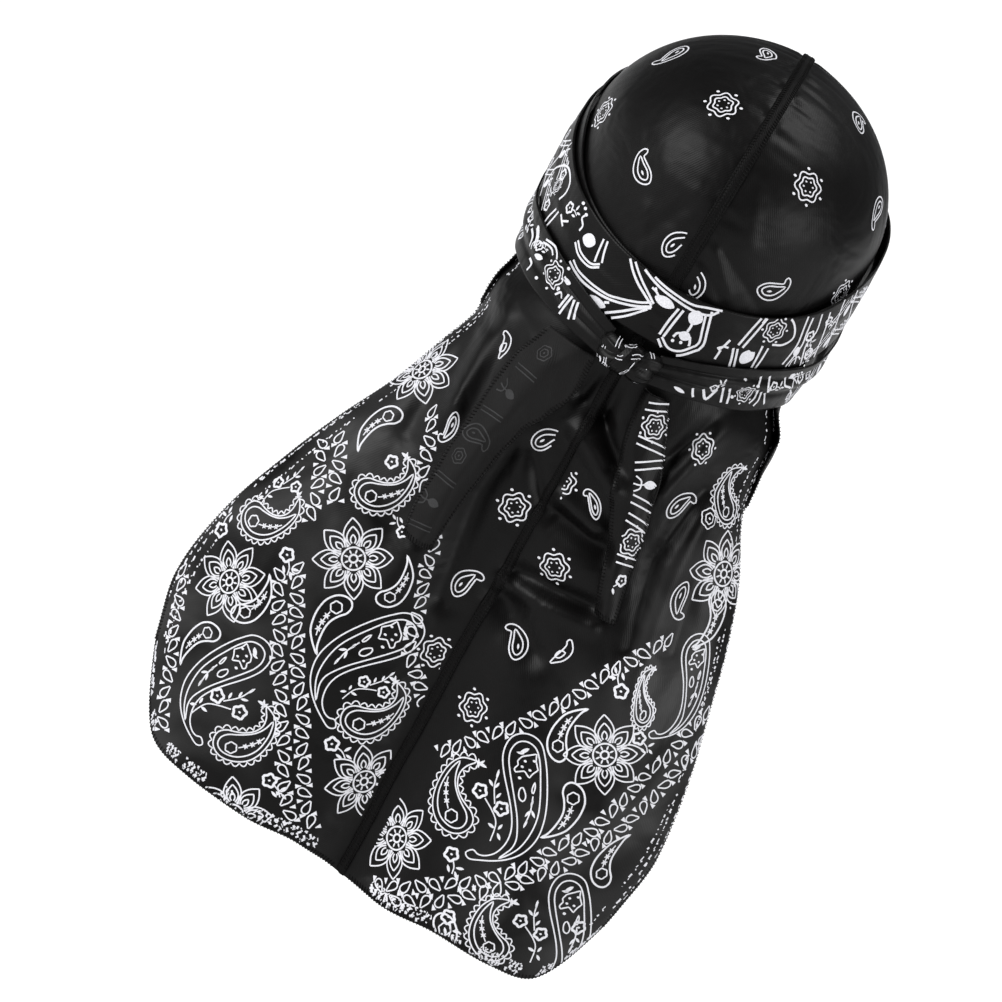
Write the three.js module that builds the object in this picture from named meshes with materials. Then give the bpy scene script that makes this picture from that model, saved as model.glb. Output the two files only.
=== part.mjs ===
// Bandana cap: a head wrap of printed satin, tied at the nape, with a long tail.
// Millimetres. +Z is up, +Y is where the wearer looks and +X is the wearer's right.
// The origin is the inside of the crown at its top, where the wrap sits on a head.
import * as THREE from 'three';

// Driving dimensions
const HEAD = { halfWidth: 81.8, halfDepth: 96.8, height: 75.4 };
const CLOTH_WALL = 1.2;
const HEM_ANGLE = 8;
const EAR_ANGLE = 82.5;
const SEAM = { halfWidth: 3.5, thickness: 1.0, lift: 0.5, parting: 0.5 };
const TIE = { wall: 1.2, firstLayer: 2.4, layerStep: 2.1, overSeam: 1.2, seamBump: 8 };
const FOLD_RADIUS = 1.7;
const EDGE_STRIP = 2.5;
const KNOT = { x: -1.5, y: -101.5, z: -162, halfWidth: 12.5, halfDepth: 7, halfHeight: 9 };

// How fine the faceted walls are
const CROWN_ROWS = 13;
const TAIL_ROWS = 27;
const PANEL_COLUMNS = 13;
const TIE_STEP = 9;
const TIE_COLUMNS = 3;

// Cross-sections of the tail. Each is half an ellipse: left and right are its half widths, back
// is how far its middle stands behind the head's centre and reach is how deep it curls forward.
// The seam runs at seamX, in a valley of its own depth.
const TAIL_SECTIONS = [
  { z: -75.4, left: 81.8, right: 81.8, back: 96.8, reach: 96.8, seamX: 0, valley: 0 },
  { z: -100, left: 82.2, right: 82.2, back: 96.6, reach: 96.6, seamX: 0, valley: 0 },
  { z: -115, left: 81.6, right: 81.6, back: 95.6, reach: 95.2, seamX: 0, valley: 0 },
  { z: -130, left: 79.4, right: 79.6, back: 93.3, reach: 91, seamX: 0, valley: 0 },
  { z: -158, left: 75.5, right: 76, back: 89, reach: 81, seamX: -1, valley: 0 },
  { z: -174, left: 79, right: 85.5, back: 88, reach: 68, seamX: -2, valley: 2 },
  { z: -194, left: 79.8, right: 88, back: 87.5, reach: 59, seamX: -2, valley: 4 },
  { z: -214, left: 86, right: 91.5, back: 87.2, reach: 53, seamX: -1, valley: 5 },
  { z: -244, left: 95.5, right: 106.5, back: 87, reach: 46, seamX: 0, valley: 6 },
  { z: -275, left: 110.5, right: 118, back: 87, reach: 41, seamX: 1, valley: 8 },
  { z: -305, left: 123.5, right: 126, back: 86.8, reach: 38, seamX: 2, valley: 10 },
  { z: -347, left: 138.5, right: 137.5, back: 86.5, reach: 34, seamX: 3, valley: 12 },
  { z: -388, left: 143.5, right: 143.5, back: 86, reach: 31, seamX: 5, valley: 14 },
  { z: -419, left: 137, right: 139.5, back: 85.5, reach: 28, seamX: 6, valley: 15 },
  { z: -451, left: 131, right: 135, back: 85, reach: 26, seamX: 8, valley: 16 },
  { z: -480, left: 129, right: 133, back: 84.5, reach: 25, seamX: 9, valley: 17 },
];
const VALLEY_WIDTH = 24;

// Width of the side edge that lies folded back on the tail below the ties
const SIDE_FLAPS = [
  { z: -75.4, left: EDGE_STRIP, right: EDGE_STRIP },
  { z: -140, left: EDGE_STRIP, right: EDGE_STRIP },
  { z: -150, left: 9, right: 16 },
  { z: -158, left: 10.5, right: 20 },
  { z: -177, left: 6.5, right: 15 },
  { z: -190, left: 3, right: 10 },
  { z: -200, left: EDGE_STRIP, right: 5 },
  { z: -212, left: EDGE_STRIP, right: EDGE_STRIP },
  { z: -380, left: EDGE_STRIP, right: EDGE_STRIP },
  { z: -435, left: 1, right: 1 },
];

// Bottom edge of the tail, from the seam (across 0) to the side edge (across 1)
const BOTTOM_EDGE = [
  { across: 0, left: -473, right: -473 },
  { across: 0.15, left: -475, right: -477 },
  { across: 0.31, left: -477, right: -478 },
  { across: 0.55, left: -474.5, right: -479 },
  { across: 0.76, left: -468.5, right: -478 },
  { across: 0.88, left: -457, right: -468.5 },
  { across: 1, left: -432, right: -440 },
];

// Main folds of the tail, each along a line seen from behind. Positive heights are ridges.
const FOLDS = [
  { name: 'ridge under knot', x0: -2, z0: -211, x1: 28, z1: -226, width: 8, height: 4 },
  { name: 'first pocket right', x0: 11, z0: -255, x1: 40, z1: -257, width: 9, height: -4 },
  { name: 'second pocket right', x0: 10, z0: -293, x1: 48, z1: -289, width: 11, height: -5 },
  { name: 'ridge below pocket', x0: 4, z0: -305, x1: 55, z1: -300, width: 8, height: 3 },
  { name: 'third pocket right', x0: 8, z0: -310, x1: 36, z1: -325, width: 10, height: -4 },
  { name: 'long hollow left', x0: -28, z0: -238, x1: -22, z1: -325, width: 10, height: -4.5 },
  { name: 'long ridge left', x0: -40, z0: -190, x1: -46, z1: -330, width: 10, height: 3 },
  { name: 'side fold left', x0: -66, z0: -182, x1: -64, z1: -240, width: 7, height: 3 },
  { name: 'side hollow left', x0: -74, z0: -190, x1: -78, z1: -260, width: 7, height: -3 },
  { name: 'side fold right', x0: 62, z0: -178, x1: 52, z1: -225, width: 8, height: 3.5 },
  { name: 'crease right', x0: 68, z0: -212, x1: 66, z1: -255, width: 7, height: -3.5 },
  { name: 'broad facet right', x0: 76, z0: -225, x1: 90, z1: -322, width: 12, height: 4 },
  { name: 'left lobe', x0: -86, z0: -330, x1: -80, z1: -440, width: 34, height: 6 },
  { name: 'right lobe', x0: 92, z0: -340, x1: 84, z1: -440, width: 34, height: 6 },
];
const FOLDS_FROM = -160;
const FOLDS_FULL = -190;

// The shape that the ties lie round, below the widest line of the head
const NAPE = [
  { z: -75.4, halfWidth: 81.8, halfDepth: 96.8 },
  { z: -100, halfWidth: 82.2, halfDepth: 96.6 },
  { z: -115, halfWidth: 81.8, halfDepth: 96 },
  { z: -130, halfWidth: 80.5, halfDepth: 94.6 },
  { z: -150, halfWidth: 77, halfDepth: 92 },
  { z: -170, halfWidth: 76, halfDepth: 90.5 },
];

// Route of a tie, by the angle round the head from the middle of the back. It is counted on from
// its own temple over the nape, the other side, the forehead and its own side back to the knot.
// The layer says how many layers of tie it lies on, plus one.
const LEFT_ROUTE = [
  { angle: -126, top: -50, bottom: -76, layer: 1 },
  { angle: -108, top: -55, bottom: -92, layer: 1 },
  { angle: -90, top: -66, bottom: -107, layer: 1 },
  { angle: -45, top: -104, bottom: -142, layer: 1 },
  { angle: 0, top: -117, bottom: -148, layer: 1 },
  { angle: 45, top: -106, bottom: -144, layer: 1 },
  { angle: 90, top: -78, bottom: -113, layer: 1 },
  { angle: 126, top: -57, bottom: -95, layer: 1 },
  { angle: 180, top: -37, bottom: -76, layer: 1 },
  { angle: 216, top: -58, bottom: -97, layer: 1 },
  { angle: 234, top: -80, bottom: -118, layer: 1 },
  { angle: 252, top: -99, bottom: -137, layer: 1 },
  { angle: 270, top: -116.5, bottom: -151, layer: 1.9 },
  { angle: 288, top: -126, bottom: -155.5, layer: 3 },
  { angle: 315, top: -135, bottom: -162, layer: 3 },
  { angle: 351, top: -151, bottom: -168, layer: 3 },
];
const RIGHT_LAYERS = [
  { angle: -126, layer: 2 },
  { angle: 252, layer: 2 },
  { angle: 270, layer: 2.7 },
  { angle: 288, layer: 3 },
  { angle: 351, layer: 3 },
];

// Hanging ends of the ties: the two edges and the lengthwise crease between them, seen from behind
const LEFT_END = [
  { z: -171, left: -43, crease: -24, right: -15.5 },
  { z: -190, left: -50, crease: -33, right: -14.5 },
  { z: -205, left: -53, crease: -34.5, right: -18 },
  { z: -223, left: -54, crease: -39, right: -27 },
  { z: -240, left: -55.4, crease: -42, right: -31.5 },
  { z: -263, left: -56, crease: -43.5, right: -35 },
  { z: -285, left: -56, crease: -43, right: -37 },
  { z: -303, left: -53, crease: -44, right: -37 },
];
const RIGHT_END = [
  { z: -172, left: 15.5, crease: 19, right: 29 },
  { z: -187, left: 17, crease: 21, right: 37 },
  { z: -201, left: 19.6, crease: 26, right: 42.7 },
  { z: -212, left: 23.2, crease: 32, right: 47.2 },
  { z: -226, left: 27.3, crease: 38, right: 50.5 },
  { z: -238, left: 33, crease: 41.5, right: 54 },
  { z: -252, left: 40, crease: 46, right: 56 },
  { z: -270, left: 46, crease: 53, right: 60 },
  { z: -288, left: 53, crease: 58, right: 64 },
];
const END_STRIP = { wall: 1.2, standOff: 5.5, creaseHeight: 4 };

// Helpers
const radians = THREE.MathUtils.degToRad;
const clamp = THREE.MathUtils.clamp;
const smoothstep = THREE.MathUtils.smoothstep;

// Value of one column of a table at a place between its rows, on a smooth curve through them
function along(table, key, column, at) {
  const rising = table[table.length - 1][key] > table[0][key];
  const order = rising ? 1 : -1;
  const last = table.length - 2;
  let i = 0;
  while (i < last && (at - table[i + 1][key]) * order > 0) i += 1;
  const slope = (a, b) => (table[b][column] - table[a][column]) / (table[b][key] - table[a][key]);
  const span = table[i + 1][key] - table[i][key];
  const t = clamp((at - table[i][key]) / span, 0, 1);
  const startSlope = slope(Math.max(i - 1, 0), i + 1) * span;
  const endSlope = slope(i, Math.min(i + 2, table.length - 1)) * span;
  const start = table[i][column];
  const end = table[i + 1][column];
  const t2 = t * t;
  const t3 = t2 * t;
  return start * (2 * t3 - 3 * t2 + 1) + startSlope * (t3 - 2 * t2 + t)
    + end * (3 * t2 - 2 * t3) + endSlope * (t3 - t2);
}

// Value of one column on straight lines between the rows
function straight(table, key, column, at) {
  const last = table.length - 2;
  const order = table[last + 1][key] > table[0][key] ? 1 : -1;
  let i = 0;
  while (i < last && (at - table[i + 1][key]) * order > 0) i += 1;
  const t = clamp((at - table[i][key]) / (table[i + 1][key] - table[i][key]), 0, 1);
  return table[i][column] + (table[i + 1][column] - table[i][column]) * t;
}

// How far the folds push the tail back at a place seen from behind
function foldHeight(x, z) {
  let height = 0;
  for (const fold of FOLDS) {
    const dx = fold.x1 - fold.x0;
    const dz = fold.z1 - fold.z0;
    const t = clamp(((x - fold.x0) * dx + (z - fold.z0) * dz) / (dx * dx + dz * dz), 0, 1);
    const distance = Math.hypot(x - fold.x0 - dx * t, z - fold.z0 - dz * t);
    height += fold.height * Math.exp(-((distance / fold.width) ** 2));
  }
  return height * smoothstep(-z, -FOLDS_FROM, -FOLDS_FULL);
}

// Inside of the crown: lambda runs from the seam to the ear, phi from the face over the top
function crownPoint(side, lambda, phi) {
  const rim = Math.cos(lambda);
  return new THREE.Vector3(
    side * HEAD.halfWidth * Math.sin(lambda),
    HEAD.halfDepth * rim * Math.cos(phi),
    HEAD.height * (rim * Math.sin(phi) - 1),
  );
}

// Inside of the tail at a height
function tailPoint(side, lambda, z) {
  const half = along(TAIL_SECTIONS, 'z', side < 0 ? 'left' : 'right', z);
  const back = along(TAIL_SECTIONS, 'z', 'back', z);
  const reach = along(TAIL_SECTIONS, 'z', 'reach', z);
  const seamX = along(TAIL_SECTIONS, 'z', 'seamX', z);
  const valley = along(TAIL_SECTIONS, 'z', 'valley', z);
  const across = lambda / radians(EAR_ANGLE);
  const x = seamX * (1 - across) + side * half * Math.sin(lambda);
  const dip = valley * Math.exp(-(((x - seamX) / VALLEY_WIDTH) ** 2));
  const y = -(back - reach + reach * Math.cos(lambda)) + dip - foldHeight(x, z);
  return new THREE.Vector3(x, y, z);
}

// Point of a panel by its row and by the angle from the seam
function panelPoint(side, lambda, row) {
  if (row <= CROWN_ROWS) {
    const phi = radians(HEM_ANGLE + (180 - HEM_ANGLE) * row / CROWN_ROWS);
    return crownPoint(side, lambda, phi);
  }
  const across = clamp(lambda / radians(EAR_ANGLE), 0, 1);
  const bottom = along(BOTTOM_EDGE, 'across', side < 0 ? 'left' : 'right', across);
  const down = (row - CROWN_ROWS) / TAIL_ROWS;
  return tailPoint(side, lambda, -HEAD.height + (bottom + HEAD.height) * down);
}

// The side edge of a panel, which turns back on the cloth where the flap is wide
function edgePoints(side, row) {
  const ear = radians(EAR_ANGLE);
  const step = radians(1);
  const end = panelPoint(side, ear, row);
  const before = panelPoint(side, ear - step, row);
  const along1 = end.clone().sub(before);
  if (row > CROWN_ROWS) along1.z = 0;
  along1.normalize();
  const outward = new THREE.Vector3(along1.y, -along1.x, 0).multiplyScalar(side);
  const column = side < 0 ? 'left' : 'right';
  const width = row > CROWN_ROWS ? straight(SIDE_FLAPS, 'z', column, end.z) : EDGE_STRIP;
  const turn = Math.PI * smoothstep(width, EDGE_STRIP, 2 * EDGE_STRIP);
  const bend = clamp(FOLD_RADIUS * turn, 0.4 * width, 0.8 * width);
  const stations = [bend / 2, bend, (bend + width) / 2, width];
  return stations.map((distance) => {
    const arc = Math.min(distance, FOLD_RADIUS * turn);
    const angle = arc / FOLD_RADIUS;
    const rest = distance - arc;
    return end.clone()
      .addScaledVector(along1, FOLD_RADIUS * Math.sin(angle) + rest * Math.cos(turn))
      .addScaledVector(outward, FOLD_RADIUS * (1 - Math.cos(angle)) + rest * Math.sin(turn));
  });
}

// Outward direction at each point of a grid, from the directions to its neighbours
function gridNormals(grid, flip) {
  const rows = grid.length;
  const columns = grid[0].length;
  return grid.map((line, i) => line.map((point, j) => {
    const down = grid[Math.min(i + 1, rows - 1)][j].clone().sub(grid[Math.max(i - 1, 0)][j]);
    const right = line[Math.min(j + 1, columns - 1)].clone().sub(line[Math.max(j - 1, 0)]);
    return down.cross(right).normalize().multiplyScalar(flip);
  }));
}

// Closed sheet between a grid and the same grid moved out by the wall
function sheetGeometry(grid, wall, flip) {
  const rows = grid.length;
  const columns = grid[0].length;
  const normals = gridNormals(grid, flip);
  const inner = grid.flat();
  const outer = inner.map((point, k) => {
    return point.clone().addScaledVector(normals[Math.floor(k / columns)][k % columns], wall);
  });
  const positions = [...inner, ...outer].flatMap((point) => [point.x, point.y, point.z]);
  const at = (i, j, layer) => layer * rows * columns + i * columns + j;
  const faces = [];
  const quad = (a, b, c, d) => {
    if (flip > 0) faces.push(a, b, c, a, c, d);
    else faces.push(a, c, b, a, d, c);
  };
  for (let i = 0; i < rows - 1; i += 1) {
    for (let j = 0; j < columns - 1; j += 1) {
      quad(at(i, j, 1), at(i + 1, j, 1), at(i + 1, j + 1, 1), at(i, j + 1, 1));
      quad(at(i, j, 0), at(i, j + 1, 0), at(i + 1, j + 1, 0), at(i + 1, j, 0));
    }
    const last = columns - 1;
    quad(at(i, 0, 0), at(i + 1, 0, 0), at(i + 1, 0, 1), at(i, 0, 1));
    quad(at(i, last, 1), at(i + 1, last, 1), at(i + 1, last, 0), at(i, last, 0));
  }
  for (let j = 0; j < columns - 1; j += 1) {
    const last = rows - 1;
    quad(at(0, j, 1), at(0, j + 1, 1), at(0, j + 1, 0), at(0, j, 0));
    quad(at(last, j, 0), at(last, j + 1, 0), at(last, j + 1, 1), at(last, j, 1));
  }
  const geometry = new THREE.BufferGeometry();
  geometry.setAttribute('position', new THREE.Float32BufferAttribute(positions, 3));
  geometry.setIndex(faces);
  geometry.computeVertexNormals();
  return geometry;
}

// One half of the wrap: half of the crown and half of the tail in one piece of cloth
function panelGeometry(side) {
  const ear = radians(EAR_ANGLE);
  const parting = Math.asin(SEAM.parting / HEAD.halfWidth);
  const seamEdge = Math.asin(SEAM.halfWidth / HEAD.halfWidth);
  const lambdas = [parting];
  for (let column = 0; column <= PANEL_COLUMNS; column += 1) {
    lambdas.push(seamEdge + (ear - seamEdge) * column / PANEL_COLUMNS);
  }
  const grid = [];
  for (let row = 0; row <= CROWN_ROWS + TAIL_ROWS; row += 1) {
    const line = lambdas.map((lambda) => panelPoint(side, lambda, row));
    grid.push([...line, ...edgePoints(side, row)]);
  }
  return sheetGeometry(grid, CLOTH_WALL, side);
}

// The sewn ridge over the join of the two panels, from the front hem to the end of the tail
function seamGeometry() {
  const reach = Math.asin(SEAM.halfWidth / HEAD.halfWidth);
  const grid = [];
  for (let row = 0; row <= CROWN_ROWS + TAIL_ROWS; row += 1) {
    grid.push([panelPoint(-1, reach, row), panelPoint(1, 0, row), panelPoint(1, reach, row)]);
  }
  const normals = gridNormals(grid, 1);
  const lifted = grid.map((line, i) => line.map((point, j) => {
    return point.addScaledVector(normals[i][j], CLOTH_WALL + SEAM.lift);
  }));
  return sheetGeometry(lifted, SEAM.thickness, 1);
}

// Surface that the ties lie round: the head above its widest line, the nape below it
function napePoint(angle, z) {
  const turn = radians(angle);
  if (z > -HEAD.height) {
    const scale = Math.sqrt(1 - ((z + HEAD.height) / HEAD.height) ** 2);
    const halfWidth = HEAD.halfWidth * scale;
    return new THREE.Vector3(halfWidth * Math.sin(turn), -HEAD.halfDepth * scale * Math.cos(turn), z);
  }
  const halfWidth = along(NAPE, 'z', 'halfWidth', z);
  const halfDepth = along(NAPE, 'z', 'halfDepth', z);
  return new THREE.Vector3(halfWidth * Math.sin(turn), -halfDepth * Math.cos(turn), z);
}

// One tie, twice round the head from its temple to the knot. Side is -1 for the left one.
function tieGeometry(side) {
  const start = LEFT_ROUTE[0].angle;
  const steps = (LEFT_ROUTE[LEFT_ROUTE.length - 1].angle - start) / TIE_STEP;
  const grid = [];
  for (let i = 0; i <= steps; i += 1) {
    const route = start + i * TIE_STEP;
    const top = along(LEFT_ROUTE, 'angle', 'top', route);
    const bottom = along(LEFT_ROUTE, 'angle', 'bottom', route);
    const layers = side < 0 ? LEFT_ROUTE : RIGHT_LAYERS;
    const layer = straight(layers, 'angle', 'layer', route);
    const fromSeam = Math.abs(((route + 90) % 180) - 90);
    const bump = TIE.overSeam * Math.exp(-((fromSeam / TIE.seamBump) ** 2));
    const offset = TIE.firstLayer + (layer - 1) * TIE.layerStep + bump;
    const line = [];
    for (let j = 0; j <= TIE_COLUMNS; j += 1) {
      const z = top + (bottom - top) * j / TIE_COLUMNS;
      const angle = -side * route;
      const point = napePoint(angle, z);
      const across = napePoint(angle + 1, z).sub(napePoint(angle - 1, z));
      const down = napePoint(angle, z - 1).sub(napePoint(angle, z + 1));
      line.push(point.addScaledVector(down.cross(across).normalize(), offset));
    }
    grid.push(line);
  }
  return sheetGeometry(grid, TIE.wall, side);
}

// A hanging end of a tie: a strip with one crease along it, a little off the tail behind it
function endGeometry(side, table) {
  const grid = table.map((row) => {
    const half = along(TAIL_SECTIONS, 'z', side < 0 ? 'left' : 'right', row.z);
    const middle = (row.left + row.crease) / 2;
    const inner = (row.crease + row.right) / 2;
    return [row.left, middle, row.crease, inner, row.right].map((x, j) => {
      const lambda = Math.asin(clamp(Math.abs(x) / half, 0, 1));
      const rise = END_STRIP.creaseHeight * [0, 0.6, 1, 0.6, 0][j];
      const point = tailPoint(side, lambda, row.z);
      return new THREE.Vector3(x, point.y - END_STRIP.standOff - rise, row.z);
    });
  });
  return sheetGeometry(grid, END_STRIP.wall, 1);
}

// The knot: a soft lump with two turns of cloth wrapped round it
function knotGeometry() {
  const geometry = new THREE.SphereGeometry(1, 20, 12);
  const position = geometry.attributes.position;
  for (let i = 0; i < position.count; i += 1) {
    const point = new THREE.Vector3().fromBufferAttribute(position, i);
    const wrap = 1 + 0.08 * Math.cos(3 * Math.PI * point.x) * (1 - point.x * point.x);
    position.setXYZ(
      i,
      KNOT.x + KNOT.halfWidth * point.x,
      KNOT.y + KNOT.halfDepth * point.y * wrap,
      KNOT.z + KNOT.halfHeight * point.z * wrap - 1.5 * point.x * point.x,
    );
  }
  geometry.computeVertexNormals();
  return geometry;
}

// Materials: black printed satin, its wrong side, and black sewing thread
const satin = new THREE.MeshStandardMaterial({ color: 0x1b1a19, roughness: 0.42, metalness: 0 });
const wrongSide = new THREE.MeshStandardMaterial({ color: 0x262523, roughness: 0.6, metalness: 0 });
const thread = new THREE.MeshStandardMaterial({ color: 0x0c0c0c, roughness: 0.75, metalness: 0 });

function named(name, geometry, material) {
  const mesh = new THREE.Mesh(geometry, material);
  mesh.name = name;
  return mesh;
}

const cap = new THREE.Group();
cap.add(
  named('left_panel', panelGeometry(-1), satin),
  named('right_panel', panelGeometry(1), satin),
  named('centre_seam', seamGeometry(), thread),
  named('left_tie', tieGeometry(-1), satin),
  named('right_tie', tieGeometry(1), satin),
  named('tie_knot', knotGeometry(), satin),
  named('left_tie_end', endGeometry(-1, LEFT_END), wrongSide),
  named('right_tie_end', endGeometry(1, RIGHT_END), wrongSide),
);

export default cap;
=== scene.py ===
"""Bandana cap: a head wrap of printed satin, tied at the nape, with a long tail.

Lengths in the tables are millimetres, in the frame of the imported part: +Z is up, +Y is where the
wearer looks, and the origin is the inside of the crown at its top. Chart places (e, d) are laid over
the wrap as it is seen from behind, 12 degrees from above: e to the right of the seam and d down.
"""
import math

import bpy
import numpy as np
from mathutils import Matrix, Vector


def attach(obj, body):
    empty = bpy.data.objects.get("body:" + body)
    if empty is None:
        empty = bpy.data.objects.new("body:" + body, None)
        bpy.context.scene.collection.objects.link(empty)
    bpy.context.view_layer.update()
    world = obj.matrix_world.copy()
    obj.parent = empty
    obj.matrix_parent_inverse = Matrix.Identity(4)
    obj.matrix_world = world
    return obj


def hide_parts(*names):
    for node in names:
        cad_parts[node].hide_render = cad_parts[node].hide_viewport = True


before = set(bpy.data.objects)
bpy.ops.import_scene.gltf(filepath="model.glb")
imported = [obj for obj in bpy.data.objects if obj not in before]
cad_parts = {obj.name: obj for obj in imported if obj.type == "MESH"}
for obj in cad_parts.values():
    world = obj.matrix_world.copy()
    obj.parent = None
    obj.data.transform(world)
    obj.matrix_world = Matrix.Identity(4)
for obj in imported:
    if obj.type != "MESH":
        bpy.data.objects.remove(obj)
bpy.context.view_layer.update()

bl_info = {
    "name": "Bandana cap",
    "version": (1, 0, 0),
    "blender": (4, 5, 0),
    "location": "View3D > Sidebar > Bandana cap",
    "description": "Makes a printed satin head wrap with its ties, stitching and print",
    "category": "Add Mesh",
}

MM = 0.001

# Crown and tail, as in the part
HEAD_HALF_WIDTH, HEAD_HALF_DEPTH, HEAD_HEIGHT = 81.8, 96.8, 75.4
HEM_ANGLE, EAR_ANGLE = 8.0, 82.5
SEAM_HALF_WIDTH, SEAM_PARTING = 3.5, 0.5
TIE_FIRST, TIE_STEP_OUT, TIE_OVER_SEAM, TIE_BUMP = 2.4, 2.1, 1.2, 8.0
FOLD_RADIUS, EDGE_STRIP = 1.7, 2.5
END_STAND_OFF, END_CREASE = 5.5, 4.0

# Cross-sections of the tail: z, left, right, back, reach, seam x, valley
TAIL_SECTIONS = np.array([
    (-75.4, 81.8, 81.8, 96.8, 96.8, 0, 0), (-100, 82.2, 82.2, 96.6, 96.6, 0, 0),
    (-115, 81.6, 81.6, 95.6, 95.2, 0, 0), (-130, 79.4, 79.6, 93.3, 91, 0, 0),
    (-158, 75.5, 78, 89, 81, -1, 0), (-174, 79, 87, 88, 68, -2, 2),
    (-194, 79.8, 88.5, 87.5, 59, -2, 4), (-214, 87, 92.5, 87.2, 53, -1, 5),
    (-244, 98, 109, 87, 46, 0, 6), (-275, 113, 121, 87, 41, 1, 8),
    (-305, 125.5, 129.5, 86.8, 38, 2, 10), (-347, 139.5, 140.5, 86.5, 34, 3, 12),
    (-388, 143.5, 146, 86, 31, 5, 14), (-419, 137, 143, 85.5, 28, 6, 15),
    (-451, 128.5, 138, 85, 26, 8, 16), (-480, 123, 134, 84.5, 25, 9, 17),
], float)
VALLEY_WIDTH = 24.0

# Side edge that lies folded back: z, left, right
SIDE_FLAPS = np.array([
    (-75.4, 2.5, 2.5), (-140, 2.5, 2.5), (-150, 9, 16), (-158, 10.5, 20), (-177, 6.5, 15),
    (-190, 3, 10), (-200, 2.5, 5), (-212, 2.5, 2.5), (-380, 2.5, 2.5), (-435, 1, 1),
], float)

# Bottom edge: across, left, right
BOTTOM_EDGE = np.array([
    (0, -480, -480), (0.15, -475, -481), (0.31, -477, -478), (0.55, -474.5, -478.5),
    (0.76, -468.5, -475), (0.88, -453, -460.5), (1, -425, -434),
], float)

# Folds of the tail: points (x, z) along each, its width and its height. Ridges are positive.
TAIL_FOLDS = [
    (((-2, -211), (28, -226)), 7, 4.5), (((4, -199), (22, -216)), 5, -3),
    (((9, -246), (30, -250)), 5, 3.5), (((11, -255), (40, -258)), 7, -4.5),
    (((9, -293), (48, -289)), 9, -5), (((4, -301), (54, -295)), 5, 3.5),
    (((8, -308), (36, -323)), 9, -4.5), (((-28, -238), (-30, -266), (-20, -325)), 8, -4.5),
    (((-19, -231), (0, -254)), 4, -2), (((-8, -173), (-11, -194)), 5, -3),
    (((3, -176), (5, -199)), 5, -3), (((-40, -190), (-46, -330)), 10, 3),
    (((-66, -182), (-64, -240)), 6, 3), (((-74, -190), (-78, -260)), 7, -3),
    (((-70, -199), (-65, -234)), 4, 1.6), (((63, -166), (51, -218)), 5, 3.5),
    (((55, -166), (45, -200)), 4, -2.5), (((68, -208), (65, -250), (79, -296)), 5.5, -3.5),
    (((76, -222), (80, -289), (91, -320)), 10, 4), (((84, -212), (88, -254), (98, -289)), 5, -2),
    (((-86, -330), (-80, -440)), 34, 6), (((92, -340), (84, -440)), 34, 6),
    (((-58, -300), (-70, -380), (-66, -460)), 12, -2.5), (((60, -330), (72, -400), (66, -462)), 13, -2.5),
    (((-100, -300), (-112, -400)), 9, 2), (((106, -300), (116, -390)), 9, 2),
    (((22, -360), (26, -470)), 8, -1.5), (((-14, -380), (-12, -470)), 8, 1.5),
]
FOLDS_FROM, FOLDS_FULL, FOLD_GAIN = 160.0, 190.0, 1.4

# Soft folds on the back of the crown: chart places along each, width and height
CROWN_FOLDS = [
    (((-62, 60), (-44, 104)), 7, 0.9), (((16, 62), (52, 92)), 6, 1.2), (((28, 58), (78, 84)), 6, -0.9),
    (((12, 84), (40, 104)), 5, 0.9), (((-30, 40), (-52, 90)), 8, -0.7), (((20, -20), (44, 40)), 9, 0.7),
]

# The shape that the ties lie round below the widest line of the head: z, half width, half depth
NAPE = np.array([
    (-75.4, 81.8, 96.8), (-100, 82.2, 96.6), (-115, 81.8, 96), (-130, 80.5, 94.6),
    (-150, 77, 92), (-170, 76, 90.5),
], float)

# Route of a tie: angle from the middle of the back, top, bottom, layer of the left one
TIE_ROUTE = np.array([
    (-126, -50, -76, 1), (-108, -55, -92, 1), (-90, -66, -107, 1), (-45, -104, -142, 1),
    (0, -117, -148, 1), (45, -106, -144, 1), (90, -78, -113, 1), (126, -57, -95, 1),
    (180, -37, -76, 1), (216, -58, -97, 1), (234, -80, -118, 1), (252, -99, -137, 1),
    (270, -116.5, -151, 1.9), (288, -126, -155.5, 3), (315, -135, -162, 3), (351, -151, -168, 3),
], float)
RIGHT_LAYERS = np.array([(-126, 2), (252, 2), (270, 2.7), (288, 3), (351, 3)], float)

# Lengthwise pleats of a tie: its pass, angle, place across from 0 to 1 at each angle, width, height
TIE_PLEATS = {
    "left_tie": [
        (((-100, 0.3), (-45, 0.36), (0, 0.62), (40, 0.7)), 0.06, 0.5),
        (((200, 0.4), (270, 0.5), (340, 0.45)), 0.10, 1.2),
        (((255, 0.75), (300, 0.7), (351, 0.62)), 0.07, -1.0),
        (((262, 0.22), (310, 0.3), (351, 0.36)), 0.07, -0.9),
    ],
    "right_tie": [
        (((-100, 0.42), (-40, 0.5), (10, 0.55), (60, 0.5), (110, 0.4)), 0.07, 0.5),
        (((-40, 0.8), (0, 0.72), (45, 0.78)), 0.06, -0.5),
        (((215, 0.42), (270, 0.44), (330, 0.36), (351, 0.4)), 0.09, 1.5),
        (((235, 0.68), (290, 0.62), (351, 0.62)), 0.07, -1.2),
        (((250, 0.2), (300, 0.24), (351, 0.3)), 0.05, -0.9),
    ],
}

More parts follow.
